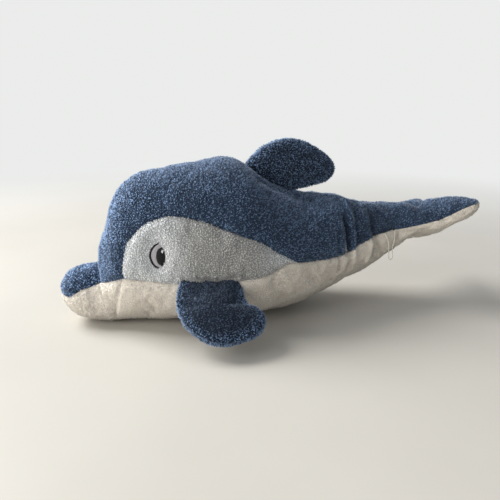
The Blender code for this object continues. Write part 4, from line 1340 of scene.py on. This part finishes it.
def make_floor():
    """A pale table that fades into a white room where the camera sees it from far off."""
    mesh = bpy.data.meshes.new("floor")
    half, z = 6.0, -0.0006
    mesh.from_pydata([(-half, -half, z), (half, -half, z), (half, half, z), (-half, half, z)], [], [(0, 1, 2, 3)])
    made, tree, shader = new_material("pale_floor")
    mesh.materials.append(made)
    place = node(tree, "ShaderNodeTexCoord").outputs["Object"]
    cloud = node(tree, "ShaderNodeTexNoise", {"Vector": place, "Scale": 3.0, "Detail": 4.0}).outputs["Fac"]
    pale = blended(tree, mapped(tree, cloud, 0.3, 0.7, 0, 1), (0.50, 0.48, 0.435, 1), (0.55, 0.53, 0.48, 1))
    tree.links.new(pale, shader.inputs["Base Color"])
    shader.inputs["Roughness"].default_value = 0.55
    seen = node(tree, "ShaderNodeLightPath").outputs["Is Camera Ray"]
    away = node(tree, "ShaderNodeVectorMath", {0: place}, operation="LENGTH").outputs["Value"]
    fade = maths(tree, "MULTIPLY", mapped(tree, away, 0.35, 1.5, 0, 1, True), seen)
    room = node(tree, "ShaderNodeEmission", {"Color": PALE_ROOM, "Strength": 1.0}).outputs[0]
    both = node(tree, "ShaderNodeMixShader", {0: fade, 1: shader.outputs[0], 2: room})
    tree.links.new(both.outputs[0], tree.nodes["Material Output"].inputs["Surface"])
    add_object("floor", mesh)


def make_light():
    """A tall window behind on the left, the room's light in front, and a pale room all round."""
    world = bpy.data.worlds.new("pale_room")
    bpy.context.scene.world = world
    world.use_nodes = True
    tree = world.node_tree
    light = tree.nodes["Background"]
    light.inputs["Color"].default_value = (0.93, 0.96, 1.0, 1)
    light.inputs["Strength"].default_value = 0.37
    wall = node(tree, "ShaderNodeBackground", {"Color": PALE_ROOM, "Strength": 1.0}).outputs[0]
    seen = node(tree, "ShaderNodeLightPath").outputs["Is Camera Ray"]
    both = node(tree, "ShaderNodeMixShader", {0: seen, 1: light.outputs[0], 2: wall})
    tree.links.new(both.outputs[0], tree.nodes["World Output"].inputs["Surface"])
    for name, place, aim, size, power, colour in LAMPS:
        lamp = bpy.data.lights.new(name, "AREA")
        lamp.shape, lamp.size, lamp.energy, lamp.color = "SQUARE", size, power, colour
        made = add_object(name, lamp)
        made.location = place
        made.rotation_euler = (Vector(aim) - Vector(place)).to_track_quat("-Z", "Y").to_euler()


def make_camera():
    """The photograph's upper picture: 12 degrees from the side towards the head, 16 above the level."""
    azimuth, height, away = math.radians(-12), math.radians(16), 0.600
    back = Vector((math.sin(azimuth) * math.cos(height), -math.cos(azimuth) * math.cos(height), math.sin(height)))
    target = Vector((0.045, 0.0, 0.070))
    lens = bpy.data.cameras.new("camera")
    lens.sensor_width = 36.0
    lens.lens = 36.0
    camera = add_object("camera", lens)
    camera.location = target + back * away
    camera.rotation_euler = (-back).to_track_quat("-Z", "Y").to_euler()
    bpy.context.scene.camera = camera


make_camera()
make_thread_loop()
make_floor()
make_light()
cheek = make_body()
make_stuffing()
make_dorsal_fin()
make_flippers()
make_flukes()
for row in EYE_THREADS:
    embroider(cheek, *row)
for lock in list(TUFTS.objects):
    bpy.data.objects.remove(lock)
bpy.context.scene.view_settings.view_transform = "Standard"
